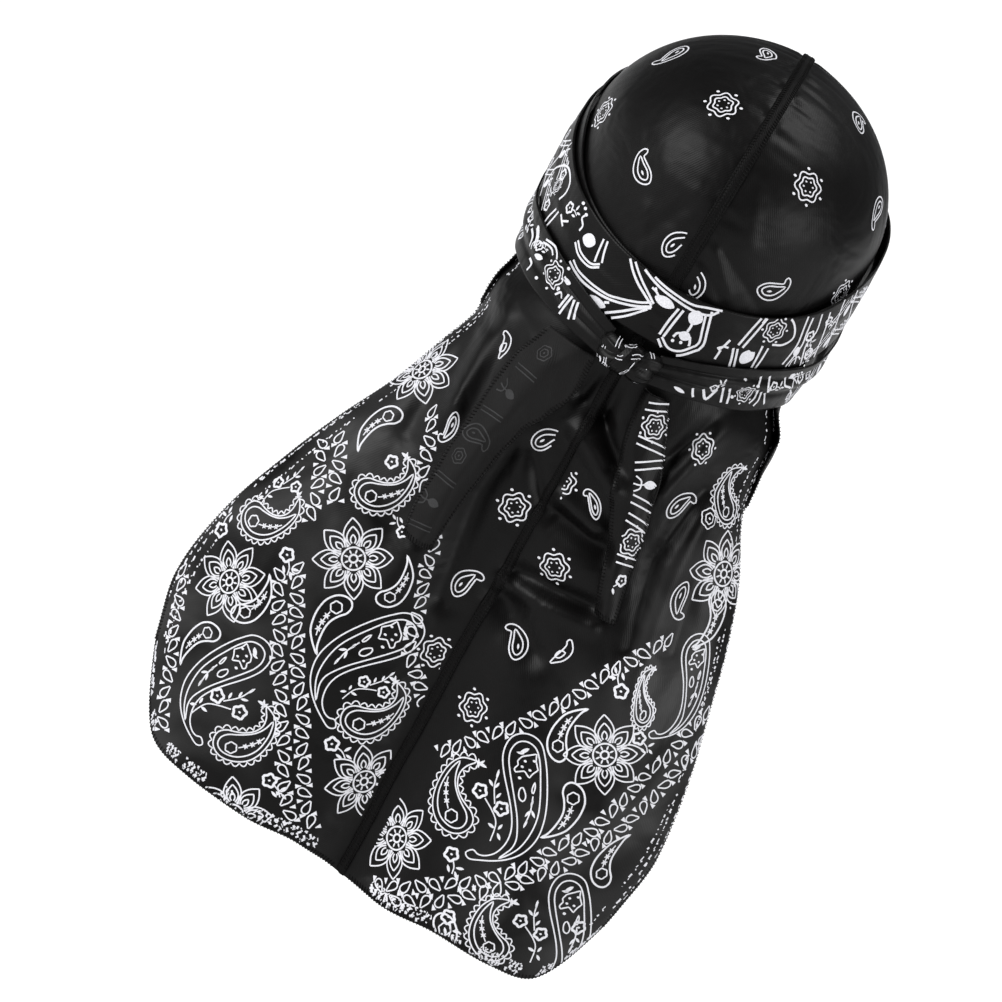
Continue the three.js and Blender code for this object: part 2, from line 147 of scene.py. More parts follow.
# Hanging ends of the ties: z, left edge, crease, right edge
TIE_ENDS = {
    "left_tie_end": np.array([
        (-171, -43, -24, -15.5), (-190, -50, -33, -14.5), (-205, -53, -34.5, -18),
        (-223, -54, -39, -27), (-240, -55.4, -42, -31.5), (-263, -56, -43.5, -35),
        (-285, -56, -43, -37), (-303, -53, -44, -37),
    ], float),
    "right_tie_end": np.array([
        (-172, 15.5, 19, 29), (-187, 17, 21, 37), (-201, 19.6, 26, 42.7), (-212, 23.2, 32, 47.2),
        (-226, 27.3, 38, 50.5), (-238, 33, 41.5, 54), (-252, 40, 46, 56), (-270, 46, 53, 60),
        (-288, 53, 58, 64),
    ], float),
}

# Rolls of the knot: points along each, half depth and half height at its middle, helper direction
KNOT_ROLLS = [
    (((-17, -95.5, -158), (-9, -100, -160), (0, -102, -162.5), (7, -101, -165), (15, -95.5, -164)),
     4.2, 5.6, (0, 0, 1)),
    (((17, -95.5, -157), (7, -100.5, -158.5), (-2, -101.5, -162), (-9, -100, -165.5),
      (-16, -95.5, -163)), 4.2, 5.2, (0, 0, 1)),
    (((1.5, -98.5, -153.5), (1, -103.6, -155), (-0.5, -106.2, -160.5), (-2.2, -105.6, -166),
      (-3.6, -102, -169.5), (-4, -98, -170)), 2.0, 4.6, (1, 0, 0)),
]

# The chart lies over the view from behind: its tilt, mm to a unit, and the place of its zero
VIEW_TILT = math.radians(12)
CHART_SCALE = 0.5156
CHART_Z, CHART_D = 76.0, 5.0
CHART_RIGHT = np.array((1.0, 0.0, 0.0))

# Grids: rows down or along, columns across
CROWN_ROWS, TAIL_ROWS, PANEL_COLUMNS, EDGE_COLUMNS = 130, 226, 86, 10
TIE_ROWS, TIE_COLUMNS = 380, 26
END_ROWS, END_COLUMNS = 80, 26
SEAM_COLUMNS = 16
ROLL_POINTS, ROLL_SIDES = 48, 40

# Cloth: gap under the panels' wrong side, and thickness of a tie
CLOTH_INNER, TIE_CLOTH = 0.3, 0.9

# Puckers beside the seam: height, where they start and are full, how they fade, and how far from the
# front hem they are strongest
PUCKER_HEIGHT, PUCKER_FROM, PUCKER_FULL, PUCKER_FADE, PUCKER_STRONG = 1.3, 2.5, 6.0, 14.0, 140.0

# Sewn ridge: height of its underside, of its sides and of its rounding; grooves by share of its width
SEAM_UNDER, SEAM_SIDE, SEAM_ROUND = 1.12, 1.5, 1.1
STITCH_GROOVE, GROOVE_WIDTH = 0.55, 0.13

# Thread, how far the serging reaches in from an edge, and its first row on the side edges
THREAD_RADIUS, SERGING_REACH = 0.24, 2.5
SERGING_FROM = CROWN_ROWS + 30

# Print: width of a line before the print setting thins it, then a ribbon's depth under the cloth's
# face, its height over it, and the gap between two points that it no longer crosses
LINE = 1.05
INK_SINK, INK_HEIGHT, INK_STEP = 0.12, 0.13, 6.0
# Borders: from leaf to leaf, then how far aside its triangles lie, and their size
BORDER_PITCH, BORDER_ASIDE, BORDER_WEDGE = 8.0, 3.0, 3.3
# In chart units: radius of a charted dot, and the miss past which a point isn't printed. Such a point
# gets a grid place off the cloth.
DOT_RADIUS, CHART_MISS, OFF_CLOTH = 1.7, 2.5, -9
# The first pass of a tie is charted up to this angle of its route, and the second from this one
FIRST_PASS_TO, SECOND_PASS_FROM = 100, 255

# Strip beside the seam without print: from z, to z, half width. Later rows hold over earlier ones.
SEAM_GAPS = {
    "left_panel": [(-1000, 1000, 3.4), (-155, 1000, 6.5), (-240, -200, 10.5)],
    "right_panel": [(-1000, 1000, 5.6), (-1000, -330, 8.0), (-155, -100, 7.5)],
}

# Rows of motifs: kind, turn and size of each in turn
SIDE_ROW = [("leafy", 20, 0.8), ("bars", 60, 0.7), ("bud", -30, 0.8), ("bars", -50, 0.7),
            ("leafy", 200, 0.7)]
TIE_ROW = [("bars", 0, 1), ("star", 0, 0.9), ("bars", 90, 1), ("leafy", 0, 1), ("arch", 0, 1),
           ("bud", 40, 1)]
FAINT_ROW = [("drop", 20, 1), ("star", 0, 1), ("ring", 0, 1), ("drop", 200, 1)]
FLAP_ROW = [("star", 0, 0.9), ("bars", 0, 0.7)]
END_ROW = [("bars", 0, 1), ("star", 0, 0.85), ("bars", -20, 1), ("bars", 0, 1), ("bud", 0, 0.8),
           ("bars", -20, 1), ("bars", -20, 1), ("star", 0, 0.9), ("bars", -8, 1), ("leafy", 0, 0.8)]
FAINT_END_ROW = [("ring", 0, 0.8), ("bars", 0, 0.6), ("bud", 0, 0.8), ("bars", 10, 0.6), ("drop", 30, 1)]
KNOT_ROW = [("bars", 20, 0.4), ("bud", 100, 0.5), ("arch", 30, 0.4)]

# Faint print inside a panel: first and last place down it, columns in from its edge, kinds, pitch
PANEL_FAINT_ROWS = [((0.42, 0.56), 5, FLAP_ROW, 20), ((0.57, 0.97), 20, FAINT_ROW, 26),
                    ((0.57, 0.97), 50, FAINT_ROW, 31)]

# Print of the ties: charted tables of the first and second pass, then the stretches of the route, in
# degrees, that carry rows along both sides and one row along the middle
TIE_PASSES = {
    "right_tie": ("first", "right_second", ((-84, -62), (60, 86), (264, 292)), ((-122, -84), (88, 262))),
    "left_tie": (None, "left_second", ((264, 292),), ((-122, 262),)),
}
SIDE_PLACES, SIDE_PITCH, MIDDLE_PITCH = (0.27, 0.73), 9, 18

# Print of the hanging ends: finish, columns left bare, row's column, first and last place, kinds, pitch
END_PRINT = {
    "left_tie_end": ("faint_ink", 0, 7, (0.05, 0.98), FAINT_END_ROW, 14),
    "right_tie_end": ("ink", 13, 19, (0.0, 0.88), END_ROW, 10.4),
}

# Print of the knot: where a row starts, and its column. Each is 0.4 of a roll long.
KNOT_PRINT, KNOT_LENGTH, KNOT_PITCH = ((0.16, 8), (0.5, 13), (0.12, 30), (0.45, 27)), 0.4, 7

# Specks on the rolled edges. Side edge: number, first row below the crown, rows of the tail left out
# in all, columns in from the ear's column, swing. Bottom edge: rows up from it, columns off the seam.
SPECKS, SPECK_TOP, SPECK_CLEAR, SPECK_IN, SPECK_SWING, SPECK_UP, SPECK_SEAM = 330, 48, 56, 6.5, 6, 3.2, 8

# Stage: width of the picture in metres, then the point aimed at, the floor and the world's strength
FRAME_WIDTH = 0.5166
AIM = (-18.6, -85.0, -263.2)
FLOOR_LEVEL = -900.0
WORLD_STRENGTH = 0.2
# Soft lights: strength, spread in degrees and the direction that each comes from
LIGHTS = [
    ("key_softbox", 3.2, 34, (-0.9, -0.6, 0.5)),
    ("fill_softbox", 1.6, 24, (0.95, -0.45, 0.25)),
    ("top_softbox", 1.8, 32, (0.25, 0.2, 1.0)),
]


# Curves through tables, and lengths along lines

def curve(rows, column, at):
    """Smooth value of a column: h(t) = p0(2t3-3t2+1) + m0(t3-2t2+t) + p1(3t2-2t3) + m1(t3-t2) between
    neighbouring rows, with the slopes m taken over the rows on either side."""
    order = 1 if rows[-1, 0] > rows[0, 0] else -1
    xs, ys = rows[::order, 0], rows[::order, column]
    at = np.asarray(at, float)
    i = np.clip(np.searchsorted(xs, at, "right") - 1, 0, len(xs) - 2)
    span = xs[i + 1] - xs[i]
    t = np.clip((at - xs[i]) / span, 0, 1)
    low, high = np.maximum(i - 1, 0), np.minimum(i + 2, len(xs) - 1)
    m0 = (ys[i + 1] - ys[low]) / (xs[i + 1] - xs[low]) * span
    m1 = (ys[high] - ys[i]) / (xs[high] - xs[i]) * span
    return (ys[i] * (2 * t**3 - 3 * t**2 + 1) + m0 * (t**3 - 2 * t**2 + t)
            + ys[i + 1] * (3 * t**2 - 2 * t**3) + m1 * (t**3 - t**2))


def straight(rows, column, at):
    """Value of a column on straight lines between the rows."""
    order = 1 if rows[-1, 0] > rows[0, 0] else -1
    return np.interp(at, rows[::order, 0], rows[::order, column])


def smoothstep(value, low, high):
    """3t2 - 2t3 with t the place of the value between low and high."""
    t = np.clip((value - low) / (high - low), 0, 1)
    return t * t * (3 - 2 * t)


def unit(vectors):
    """Each vector divided by its length."""
    return vectors / np.maximum(np.linalg.norm(vectors, axis=-1, keepdims=True), 1e-9)


def walked(line):
    """Length walked along a line of points, 0 at the first: the running sum of the steps' lengths."""
    return np.concatenate([[0], np.cumsum(np.linalg.norm(np.diff(line, axis=0), axis=1))])


def at_lengths(field, length, at):
    """Each column of a field at walked lengths, on straight lines between its rows."""
    return np.stack([np.interp(at, length, column) for column in field.T], 1)


def folds_at(a, b, folds):
    """Sum over the folds of height * exp(-(distance to the fold's line / width)^2)."""
    total = np.zeros_like(a)
    for points, width, height in folds:
        nearest = np.full_like(a, np.inf)
        for (a0, b0), (a1, b1) in zip(points, points[1:]):
            da, db = a1 - a0, b1 - b0
            t = np.clip(((a - a0) * da + (b - b0) * db) / (da * da + db * db), 0, 1)
            nearest = np.minimum(nearest, np.hypot(a - a0 - da * t, b - b0 - db * t))
        total += height * np.exp(-((nearest / width) ** 2))
    return total


# The view from behind, on which the chart is laid

def chart_of(points):
    """e = x / scale and d = -((z + 76) cos 12 + y sin 12) / scale - 5."""
    down = -((points[..., 2] + CHART_Z) * math.cos(VIEW_TILT) + points[..., 1] * math.sin(VIEW_TILT))
    return np.stack([points[..., 0] / CHART_SCALE, down / CHART_SCALE - CHART_D], -1)


# Cloth surfaces

class Sheet:
    """A grid of points on the outside of a piece of cloth, with its outward directions."""

    def __init__(self, points, outward):
        self.points, self.outward = points, outward
        self.down, self.across = np.gradient(points, axis=0), np.gradient(points, axis=1)
        self.chart = chart_of(points)
        self.chart_down = np.gradient(self.chart, axis=0)
        self.chart_across = np.gradient(self.chart, axis=1)

    def sample(self, field, uv):
        """Bilinear value of a field at grid places uv."""
        rows, columns = field.shape[:2]
        u, v = np.clip(uv[:, 0], 0, rows - 1.001), np.clip(uv[:, 1], 0, columns - 1.001)
        i, j = u.astype(int), v.astype(int)
        f, g = (u - i)[:, None], (v - j)[:, None]
        return ((field[i, j] * (1 - g) + field[i, j + 1] * g) * (1 - f)
                + (field[i + 1, j] * (1 - g) + field[i + 1, j + 1] * g) * f)

    def find(self, places, allowed):
        """Grid places under chart places: the nearest allowed grid point, then Newton's steps
        (du, dv) = J^-1 (wanted - chart) with J the chart's slopes."""
        index = np.argwhere(allowed)
        chart = self.chart[allowed]
        uv = np.empty((len(places), 2))
        for start in range(0, len(places), 64):
            part = places[start:start + 64]
            gap = ((part[:, None] - chart[None]) ** 2).sum(-1)
            uv[start:start + 64] = index[gap.argmin(1)]
        home = uv.copy()
        for _ in range(5):
            miss = places - self.sample(self.chart, uv)
            a, b = self.sample(self.chart_down, uv), self.sample(self.chart_across, uv)
            det = a[:, 0] * b[:, 1] - a[:, 1] * b[:, 0]
            det = np.where(np.abs(det) < 1e-3, 1e9, det)
            du = (miss[:, 0] * b[:, 1] - miss[:, 1] * b[:, 0]) / det
            dv = (a[:, 0] * miss[:, 1] - a[:, 1] * miss[:, 0]) / det
            uv = np.clip(uv + np.clip(np.stack([du, dv], 1), -1, 1), home - 1.5, home + 1.5)
        return uv

    def walk(self, start, way, steps=12):
        """Grid places reached from start by going straight on over the cloth by the vectors way.
        Each step solves G (du, dv) = (down . w, across . w) with G the surface's metric."""
        uv, length = start.copy(), np.linalg.norm(way, axis=1) / steps
        heading = unit(way)
        for _ in range(steps):
            a, b = self.sample(self.down, uv), self.sample(self.across, uv)
            aa, ab, bb = (a * a).sum(1), (a * b).sum(1), (b * b).sum(1)
            ah, bh = (a * heading).sum(1), (b * heading).sum(1)
            det = np.maximum(aa * bb - ab * ab, 1e-6)
            step = np.stack([(ah * bb - bh * ab) / det, (bh * aa - ah * ab) / det], 1)
            moved = a * step[:, :1] + b * step[:, 1:]
            size = np.maximum(np.linalg.norm(moved, axis=1), 1e-6)
            uv = uv + step * (length / size)[:, None]
            heading = moved / size[:, None]
        return uv


def outward_of(points, flip):
    """Unit vector of (down x across) * flip at each grid point."""
    down, across = np.gradient(points, axis=0), np.gradient(points, axis=1)
    return unit(np.cross(down, across)) * flip


def tail_surface(side, angle, z, seam_share):
    """Inside of the tail: x = seam x (1 - share) + side * half * sin(angle), y = -(back - reach +
    reach cos(angle)) + valley exp(-((x - seam x) / 24)^2) - folds."""
    half = curve(TAIL_SECTIONS, 1 if side < 0 else 2, z)
    back, reach = curve(TAIL_SECTIONS, 3, z), curve(TAIL_SECTIONS, 4, z)
    seam_x, valley = curve(TAIL_SECTIONS, 5, z), curve(TAIL_SECTIONS, 6, z)
    x = seam_x * (1 - seam_share) + side * half * np.sin(angle)
    dip = valley * np.exp(-(((x - seam_x) / VALLEY_WIDTH) ** 2))
    folds = FOLD_GAIN * folds_at(x, z, TAIL_FOLDS) * smoothstep(-z, FOLDS_FROM, FOLDS_FULL)
    y = -(back - reach + reach * np.cos(angle)) + dip - folds
    return np.stack([x, y, z], -1)


def crown_points(angle, sign):
    """Crown: (sign a sin l, b cos l cos p, c (cos l sin p - 1)) with l the angle from the seam and p
    from the front hem over the top to the back."""
    over = np.radians(np.linspace(HEM_ANGLE, 180, CROWN_ROWS + 1))
    lam, phi = np.meshgrid(angle, over)
    rim = np.cos(lam)
    return np.stack([sign * HEAD_HALF_WIDTH * np.sin(lam), HEAD_HALF_DEPTH * rim * np.cos(phi),
                     HEAD_HEIGHT * (rim * np.sin(phi) - 1)], -1)


def tail_levels(bottom):
    """Levels in equal steps from the crown's widest line to the bottom edge under each column."""
    return -HEAD_HEIGHT + (bottom + HEAD_HEIGHT) * np.linspace(0, 1, TAIL_ROWS + 1)[1:, None]


def panel_grid(side):
    """Inside of one half of the wrap: the crown, the tail below it, and the side edge that goes on
    past the ear."""
    ear = math.radians(EAR_ANGLE)
    angle = np.linspace(math.asin(SEAM_PARTING / HEAD_HALF_WIDTH), ear, PANEL_COLUMNS + 1)
    crown = crown_points(angle, side)
    share = angle / ear
    z = tail_levels(curve(BOTTOM_EDGE, 1 if side < 0 else 2, share))
    wide = np.broadcast_to(angle, z.shape)
    tail = tail_surface(side, wide, z, np.broadcast_to(share, z.shape))
    grid = np.concatenate([crown, tail])

    # The side edge goes on past the ear and turns back where the flap is wide: out by R sin(a) and
    # outward by R (1 - cos(a)) round the fold, then straight on.
    end, before = grid[:, -1], grid[:, -2]
    onward = end - before
    onward[CROWN_ROWS + 1:, 2] = 0
    onward = unit(onward)
    outward = np.stack([onward[:, 1], -onward[:, 0], np.zeros(len(grid))], -1) * side
    width = np.full(len(grid), EDGE_STRIP)
    width[CROWN_ROWS + 1:] = straight(SIDE_FLAPS, 1 if side < 0 else 2, end[CROWN_ROWS + 1:, 2])
    turn = math.pi * smoothstep(width, EDGE_STRIP, 2 * EDGE_STRIP)
    bend = np.clip(FOLD_RADIUS * turn, 0.4 * width, 0.8 * width)
    half = EDGE_COLUMNS // 2
    steps = np.arange(1, EDGE_COLUMNS + 1)
    distance = np.where(steps <= half, bend[:, None] * steps / half,
                        bend[:, None] + (width - bend)[:, None] * (steps - half) / half)
    arc = np.minimum(distance, (FOLD_RADIUS * turn)[:, None])
    bent, rest = arc / FOLD_RADIUS, distance - arc
    ahead = FOLD_RADIUS * np.sin(bent) + rest * np.cos(turn)[:, None]
    aside = FOLD_RADIUS * (1 - np.cos(bent)) + rest * np.sin(turn)[:, None]
    edge = end[:, None] + ahead[..., None] * onward[:, None] + aside[..., None] * outward[:, None]
    return np.concatenate([grid, edge], 1)


def crown_relief(grid, side):
    """Outward relief: soft folds on the back of the crown, and puckers beside the seam. A pucker is a
    sum of sines of the length s walked from the front hem, slightly bowed with x, times
    1.3 exp(-(x - 4) / 14). It fades in from 2.5 to 6 mm and is strongest round s = 140."""
    x = np.abs(grid[..., 0])
    along = walked(grid[:, 4])[:, None]
    wave = (np.sin(along / 2.1 + 0.05 * x + side) * 0.5 + np.sin(along / 1.37 - 0.08 * x) * 0.3
            + np.sin(along / 3.9 + 1.7 * side) * 0.4)
    strong = 0.35 + 0.65 * smoothstep(-np.abs(along - PUCKER_STRONG), -85, -30)
    strong *= 1 - 0.6 * smoothstep(along, 290, 340)
    fade = np.exp(-np.maximum(x - 4, 0) / PUCKER_FADE) * smoothstep(x, PUCKER_FROM, PUCKER_FULL)
    pucker = PUCKER_HEIGHT * wave * strong * fade
    chart = chart_of(grid)
    back = smoothstep(-grid[..., 1], 20, 50) * smoothstep(grid[..., 2], -150, -120)
    return pucker + back * folds_at(chart[..., 0], chart[..., 1], CROWN_FOLDS)


def head_radii(z):
    """Half width and half depth of the head at z: the ellipsoid above its widest line, a smooth
    curve through the nape's rows below it."""
    up = np.clip((z + HEAD_HEIGHT) / HEAD_HEIGHT, 0, 0.999)
    scale = np.sqrt(1 - up**2)
    low = np.minimum(z, -HEAD_HEIGHT)
    wide = np.where(z > -HEAD_HEIGHT, HEAD_HALF_WIDTH * scale, curve(NAPE, 1, low))
    deep = np.where(z > -HEAD_HEIGHT, HEAD_HALF_DEPTH * scale, curve(NAPE, 2, low))
    return wide, deep


def nape_point(angle, z):
    """(half width sin(angle), -half depth cos(angle), z)."""
    wide, deep = head_radii(z)
    return np.stack([wide * np.sin(angle), -deep * np.cos(angle), z], -1)


def tie_grid(side, name):
    """Inside of one tie: the head's surface along the route, moved out by its layer, a bump over the
    seam, its pleats and a faint ripple. Pleats fade in and out, but those that reach the knot stay."""
    route = np.linspace(TIE_ROUTE[0, 0], TIE_ROUTE[-1, 0], TIE_ROWS)
    across = np.linspace(0, 1, TIE_COLUMNS)
    top, bottom = curve(TIE_ROUTE, 1, route), curve(TIE_ROUTE, 2, route)
    z = top[:, None] + (bottom - top)[:, None] * across
    angle = np.radians(-side * route)[:, None] + np.zeros_like(z)
    turn = math.radians(1)
    around = nape_point(angle + turn, z) - nape_point(angle - turn, z)
    downward = nape_point(angle, z - 1) - nape_point(angle, z + 1)
    out = unit(np.cross(downward, around))
    layer = straight(TIE_ROUTE, 3, route) if side < 0 else straight(RIGHT_LAYERS, 1, route)
    from_seam = np.abs(((route + 90) % 180) - 90)
    bump = TIE_OVER_SEAM * np.exp(-((from_seam / TIE_BUMP) ** 2))
    offset = (TIE_FIRST + (layer - 1) * TIE_STEP_OUT + bump)[:, None]
    pleats = np.zeros_like(z)
    for points, width, height in TIE_PLEATS[name]:
        a, c = np.array(points, float).T
        centre = np.interp(route, a, c)
        fade = smoothstep(route, a[0] - 1, a[0] + 25)
        if a[-1] < TIE_ROUTE[-1, 0]:
            fade = fade * (1 - smoothstep(route, a[-1] - 12, a[-1] + 1))
        pleats += (height * fade)[:, None] * np.exp(-(((across - centre[:, None]) / width) ** 2))
    soft = 0.12 * np.sin(route[:, None] / 4.3 + 5 * across) * np.sin(9 * across + route[:, None] / 17)
    return nape_point(angle, z) + out * (offset + pleats + soft)[..., None]


def end_grid(name):
    """Hanging end of a tie: strips from each edge to the crease, which stands out by 4 (1 - |t|^1.4),
    a little off the tail behind it."""
    rows = TIE_ENDS[name]
    side = -1 if name.startswith("left") else 1
    z = np.linspace(rows[0, 0], rows[-1, 0], END_ROWS)[:, None] + np.zeros(END_COLUMNS)
    t = np.linspace(-1, 1, END_COLUMNS)[None] + np.zeros((END_ROWS, 1))
    left, crease, right = (curve(rows, k, z) for k in (1, 2, 3))
    x = np.where(t < 0, crease + (crease - left) * t, crease + (right - crease) * t)
    half = curve(TAIL_SECTIONS, 1 if side < 0 else 2, z)
    angle = np.arcsin(np.clip(np.abs(x) / half, 0, 1))
    behind = tail_surface(side, angle, z, angle / math.radians(EAR_ANGLE))
    rise = END_CREASE * (1 - np.abs(t) ** 1.4)
    ripple = 0.5 * np.sin((z + 3 * x) / 6.0) * (0.3 + np.abs(t))
    return np.stack([x, behind[..., 1] - END_STAND_OFF - rise - ripple, z], -1)


def seam_grids(stitch):
    """Underside and top of the sewn ridge. Both follow the panels' inside surface; the top is raised by
    1.5 + 1.1 sqrt(1 - s^2), less a groove at s = +-0.55 that dips at every stitch. Down the tail the
    ridge lies turned over and shows narrower."""
    share = np.linspace(-1, 1, SEAM_COLUMNS + 1)
    angle = np.abs(share) * math.asin(SEAM_HALF_WIDTH / HEAD_HALF_WIDTH)
    ear = math.radians(EAR_ANGLE)
    crown = crown_points(angle, np.sign(share))
    left, right = (curve(BOTTOM_EDGE, k, angle / ear) for k in (1, 2))
    z = tail_levels(np.where(share < 0, left, right))
    wide = angle * (1 - 0.5 * smoothstep(-z, 140, 230))
    sides = [tail_surface(side, wide, z, wide / ear) for side in (-1, 1)]
    grid = np.concatenate([crown, np.where((share < 0)[:, None], *sides)])
    outward = outward_of(grid, 1)
    middle = grid[:, SEAM_COLUMNS // 2]
    along = walked(middle)[:, None]
    groove = np.exp(-(((np.abs(share) - STITCH_GROOVE) / GROOVE_WIDTH) ** 2))
    rise = SEAM_SIDE + SEAM_ROUND * np.sqrt(1 - share**2) + 0.10 * np.sin(along / 2.3)
    rise -= groove * (0.32 + 0.12 * np.cos(2 * math.pi * along / stitch))
    return grid + outward * SEAM_UNDER, grid + outward * rise[..., None]


def roll_grid(points, half_depth, half_height, helper, phase):
    """Rolled cloth: rings of half sizes that shrink at both ends as (1 - (2t - 1)^6)^0.5, with pleats
    1 + 0.07 sin(7 a + twist t) round each ring. The last column repeats the first."""
    path = smooth_line(points, False, 0.5)
    at = np.linspace(0, len(path) - 1, ROLL_POINTS)
    path = at_lengths(path, np.arange(len(path)), at)
    t = np.linspace(0, 1, ROLL_POINTS)[:, None]
    a = np.linspace(0, 2 * math.pi, ROLL_SIDES + 1)
    forward = unit(np.gradient(path, axis=0))
    deep = unit(np.cross(forward, np.array(helper, float)))
    high = np.cross(deep, forward)
    end = np.sqrt(np.maximum(1 - (2 * t - 1) ** 6, 0.0005))
    pleat = 1 + 0.07 * np.sin(7 * a + 2.5 * t + phase) + 0.04 * np.sin(12 * a - 3 * t + 2 * phase)
    size = (end * pleat)[..., None]
    return path[:, None] + size * (deep[:, None] * (half_depth * np.cos(a))[:, None]
                                   + high[:, None] * (half_height * np.sin(a))[:, None])


# Meshes

def new_object(name, vertices, faces, materials, smooth=True, kinds=None, uv=None):
    """Puts arrays of vertices in millimetres and of four-sided faces into a new object."""
    mesh = bpy.data.meshes.new(name)
    sizes = np.full(len(faces), faces.shape[1])
    mesh.vertices.add(len(vertices))
    mesh.loops.add(faces.size)
    mesh.polygons.add(len(faces))
    mesh.vertices.foreach_set("co", (vertices * MM).astype(np.float32).ravel())
    mesh.loops.foreach_set("vertex_index", faces.astype(np.int32).ravel())
    mesh.polygons.foreach_set("loop_start", (np.cumsum(sizes) - sizes).astype(np.int32))
    mesh.polygons.foreach_set("use_smooth", np.broadcast_to(smooth, len(faces)).copy())
    for material in materials:
        mesh.materials.append(material)
    if kinds is not None:
        mesh.polygons.foreach_set("material_index", kinds.astype(np.int32))
    if uv is not None:
        layer = mesh.uv_layers.new(name="cloth")
        layer.data.foreach_set("uv", uv[faces.ravel()].astype(np.float32).ravel())
    mesh.update(calc_edges=True)
    mesh.validate()
    thing = bpy.data.objects.new(name, mesh)
    bpy.context.scene.collection.objects.link(thing)
    return thing


def cloth_uv(points):
    """Lengths in metres along the middle column and along the rows of a grid."""
    middle = points[:, points.shape[1] // 3]
    v = walked(middle)
    u = np.cumsum(np.linalg.norm(np.diff(points, axis=1), axis=2), axis=1)
    u = np.concatenate([np.zeros((len(points), 1)), u], 1)
    return np.stack([u, np.broadcast_to(v[:, None], u.shape)], -1).reshape(-1, 2) * MM


def quads(*corners):
    """Faces from arrays of each corner's index."""
    return np.stack([corner.ravel() for corner in corners], 1)


def closed_sheet(name, inner, outer, flip, materials):
    """Closed cloth between two grids, joined round their rims. The first material is for the outside,
    the second for the inside and the cut edges."""
    rows, columns = inner.shape[:2]
    count = rows * columns
    at = np.arange(count).reshape(rows, columns)
    a, b, c, d = at[:-1, :-1], at[1:, :-1], at[1:, 1:], at[:-1, 1:]
    outside = quads(a + count, b + count, c + count, d + count)
    inside = quads(a, d, c, b)
    first, last = at[:, 0], at[:, -1]
    top, bottom = at[0], at[-1]
    rim = np.concatenate([
        quads(first[:-1], first[1:], first[1:] + count, first[:-1] + count),
        quads(last[:-1] + count, last[1:] + count, last[1:], last[:-1]),
        quads(top[:-1] + count, top[1:] + count, top[1:], top[:-1]),
        quads(bottom[:-1], bottom[1:], bottom[1:] + count, bottom[:-1] + count),
    ])
    faces = np.concatenate([outside, inside, rim])
    if flip < 0:
        faces = faces[:, ::-1]
    kinds = np.repeat([0, 1, 1], [len(outside), len(inside), len(rim)])
    smooth = np.repeat([True, True, False], [len(outside), len(inside), len(rim)])
    uv = cloth_uv(outer)
    vertices = np.concatenate([inner.reshape(-1, 3), outer.reshape(-1, 3)])
    return new_object(name, vertices, faces, materials, smooth, kinds, np.concatenate([uv, uv]))


def rolled(name, grids, material):
    """Closed tubes from grids (tubes, points, sides + 1) whose last column repeats the first. Each end
    is closed by a row of quads across its ring."""
    count, points, sides = grids.shape[0], grids.shape[1], grids.shape[2] - 1
    vertices = grids[:, :, :-1].reshape(-1, 3)
    at = np.arange(count * points * sides).reshape(count, points, sides)
    a, b = at[:, :-1], at[:, 1:]
    faces = np.stack([a, b, np.roll(b, -1, 2), np.roll(a, -1, 2)], -1).reshape(-1, 4)
    k = np.arange(sides // 2 - 1)
    ends = np.stack([k, k + 1, sides - 2 - k, sides - 1 - k], 1)
    first, last = at[:, 0][:, ends].reshape(-1, 4), at[:, -1][:, ends[:, ::-1]].reshape(-1, 4)
    lengths = np.linalg.norm(np.diff(grids[:, :, 0], axis=1), axis=2)
    along = np.concatenate([np.zeros((count, 1)), np.cumsum(lengths, axis=1)], 1)
    uv = np.stack([np.broadcast_to(np.arange(sides) * 0.3, at.shape),
                   np.broadcast_to(along[..., None], at.shape)], -1).reshape(-1, 2) * MM
    return new_object(name, vertices, np.concatenate([faces, first, last]), [material], True, None, uv)


def thread_grids(paths, radius):
    """Rings of four round each path (threads, points, 3): across = direction x helper, up = across x
    direction."""
    forward = unit(np.gradient(paths, axis=1))
    spread = np.abs(paths[:, -1] - paths[:, 0]).argmin(1)
    helper = np.eye(3)[spread][:, None]
    across = unit(np.cross(forward, helper))
    up = np.cross(across, forward)
    turn = (np.arange(5) * math.pi / 2)[:, None]
    return (paths[:, :, None] + radius * (across[:, :, None] * np.cos(turn)
                                          + up[:, :, None] * np.sin(turn)))


def serging_paths(face, back, inner, pitch, reach=SERGING_REACH):
    """Overlock stitches round a cut edge. Face, back and inner are points along the edge on the face,
    on the back and on the face further in. Each stitch runs over the face, round the edge and back."""
    length = walked(face)
    at = np.arange(pitch / 2, length[-1], pitch)
    tip, under = at_lengths(face, length, at), at_lengths(back, length, at)
    inward, out = unit(at_lengths(inner, length, at) - tip), unit(tip - under)
    ahead = unit(np.gradient(tip, axis=0)) * pitch * 0.45
    steps = [tip + inward * reach + out * 0.15 - ahead,
             tip + inward * reach * 0.55 + out * 0.42 - ahead * 0.4, tip + out * 0.3,
             (tip + under) / 2 - inward * 0.4, under - out * 0.3 + ahead * 0.2,
             under + inward * reach * 0.55 - out * 0.4 + ahead * 0.5,
             under + inward * reach - out * 0.1 + ahead]
    return np.stack(steps, 1)


# Print

def smooth_line(points, closed=False, step=1.0):
    """Catmull-Rom curve through the points, resampled evenly."""
    p = np.array(points, float)
    if closed:
        ends = np.vstack([p[-1:], p, p[:2]])
    else:
        ends = np.vstack([2 * p[0] - p[1], p, 2 * p[-1] - p[-2]])
    t = np.linspace(0, 1, 9)[:-1][:, None]
    parts = [0.5 * (2 * b + (c - a) * t + (2 * a - 5 * b + 4 * c - d) * t**2
                    + (3 * b - a - 3 * c + d) * t**3)
             for a, b, c, d in zip(ends, ends[1:], ends[2:], ends[3:])]
    fine = np.vstack([*parts, p[:1] if closed else p[-1:]])
    return even(fine, closed, step)


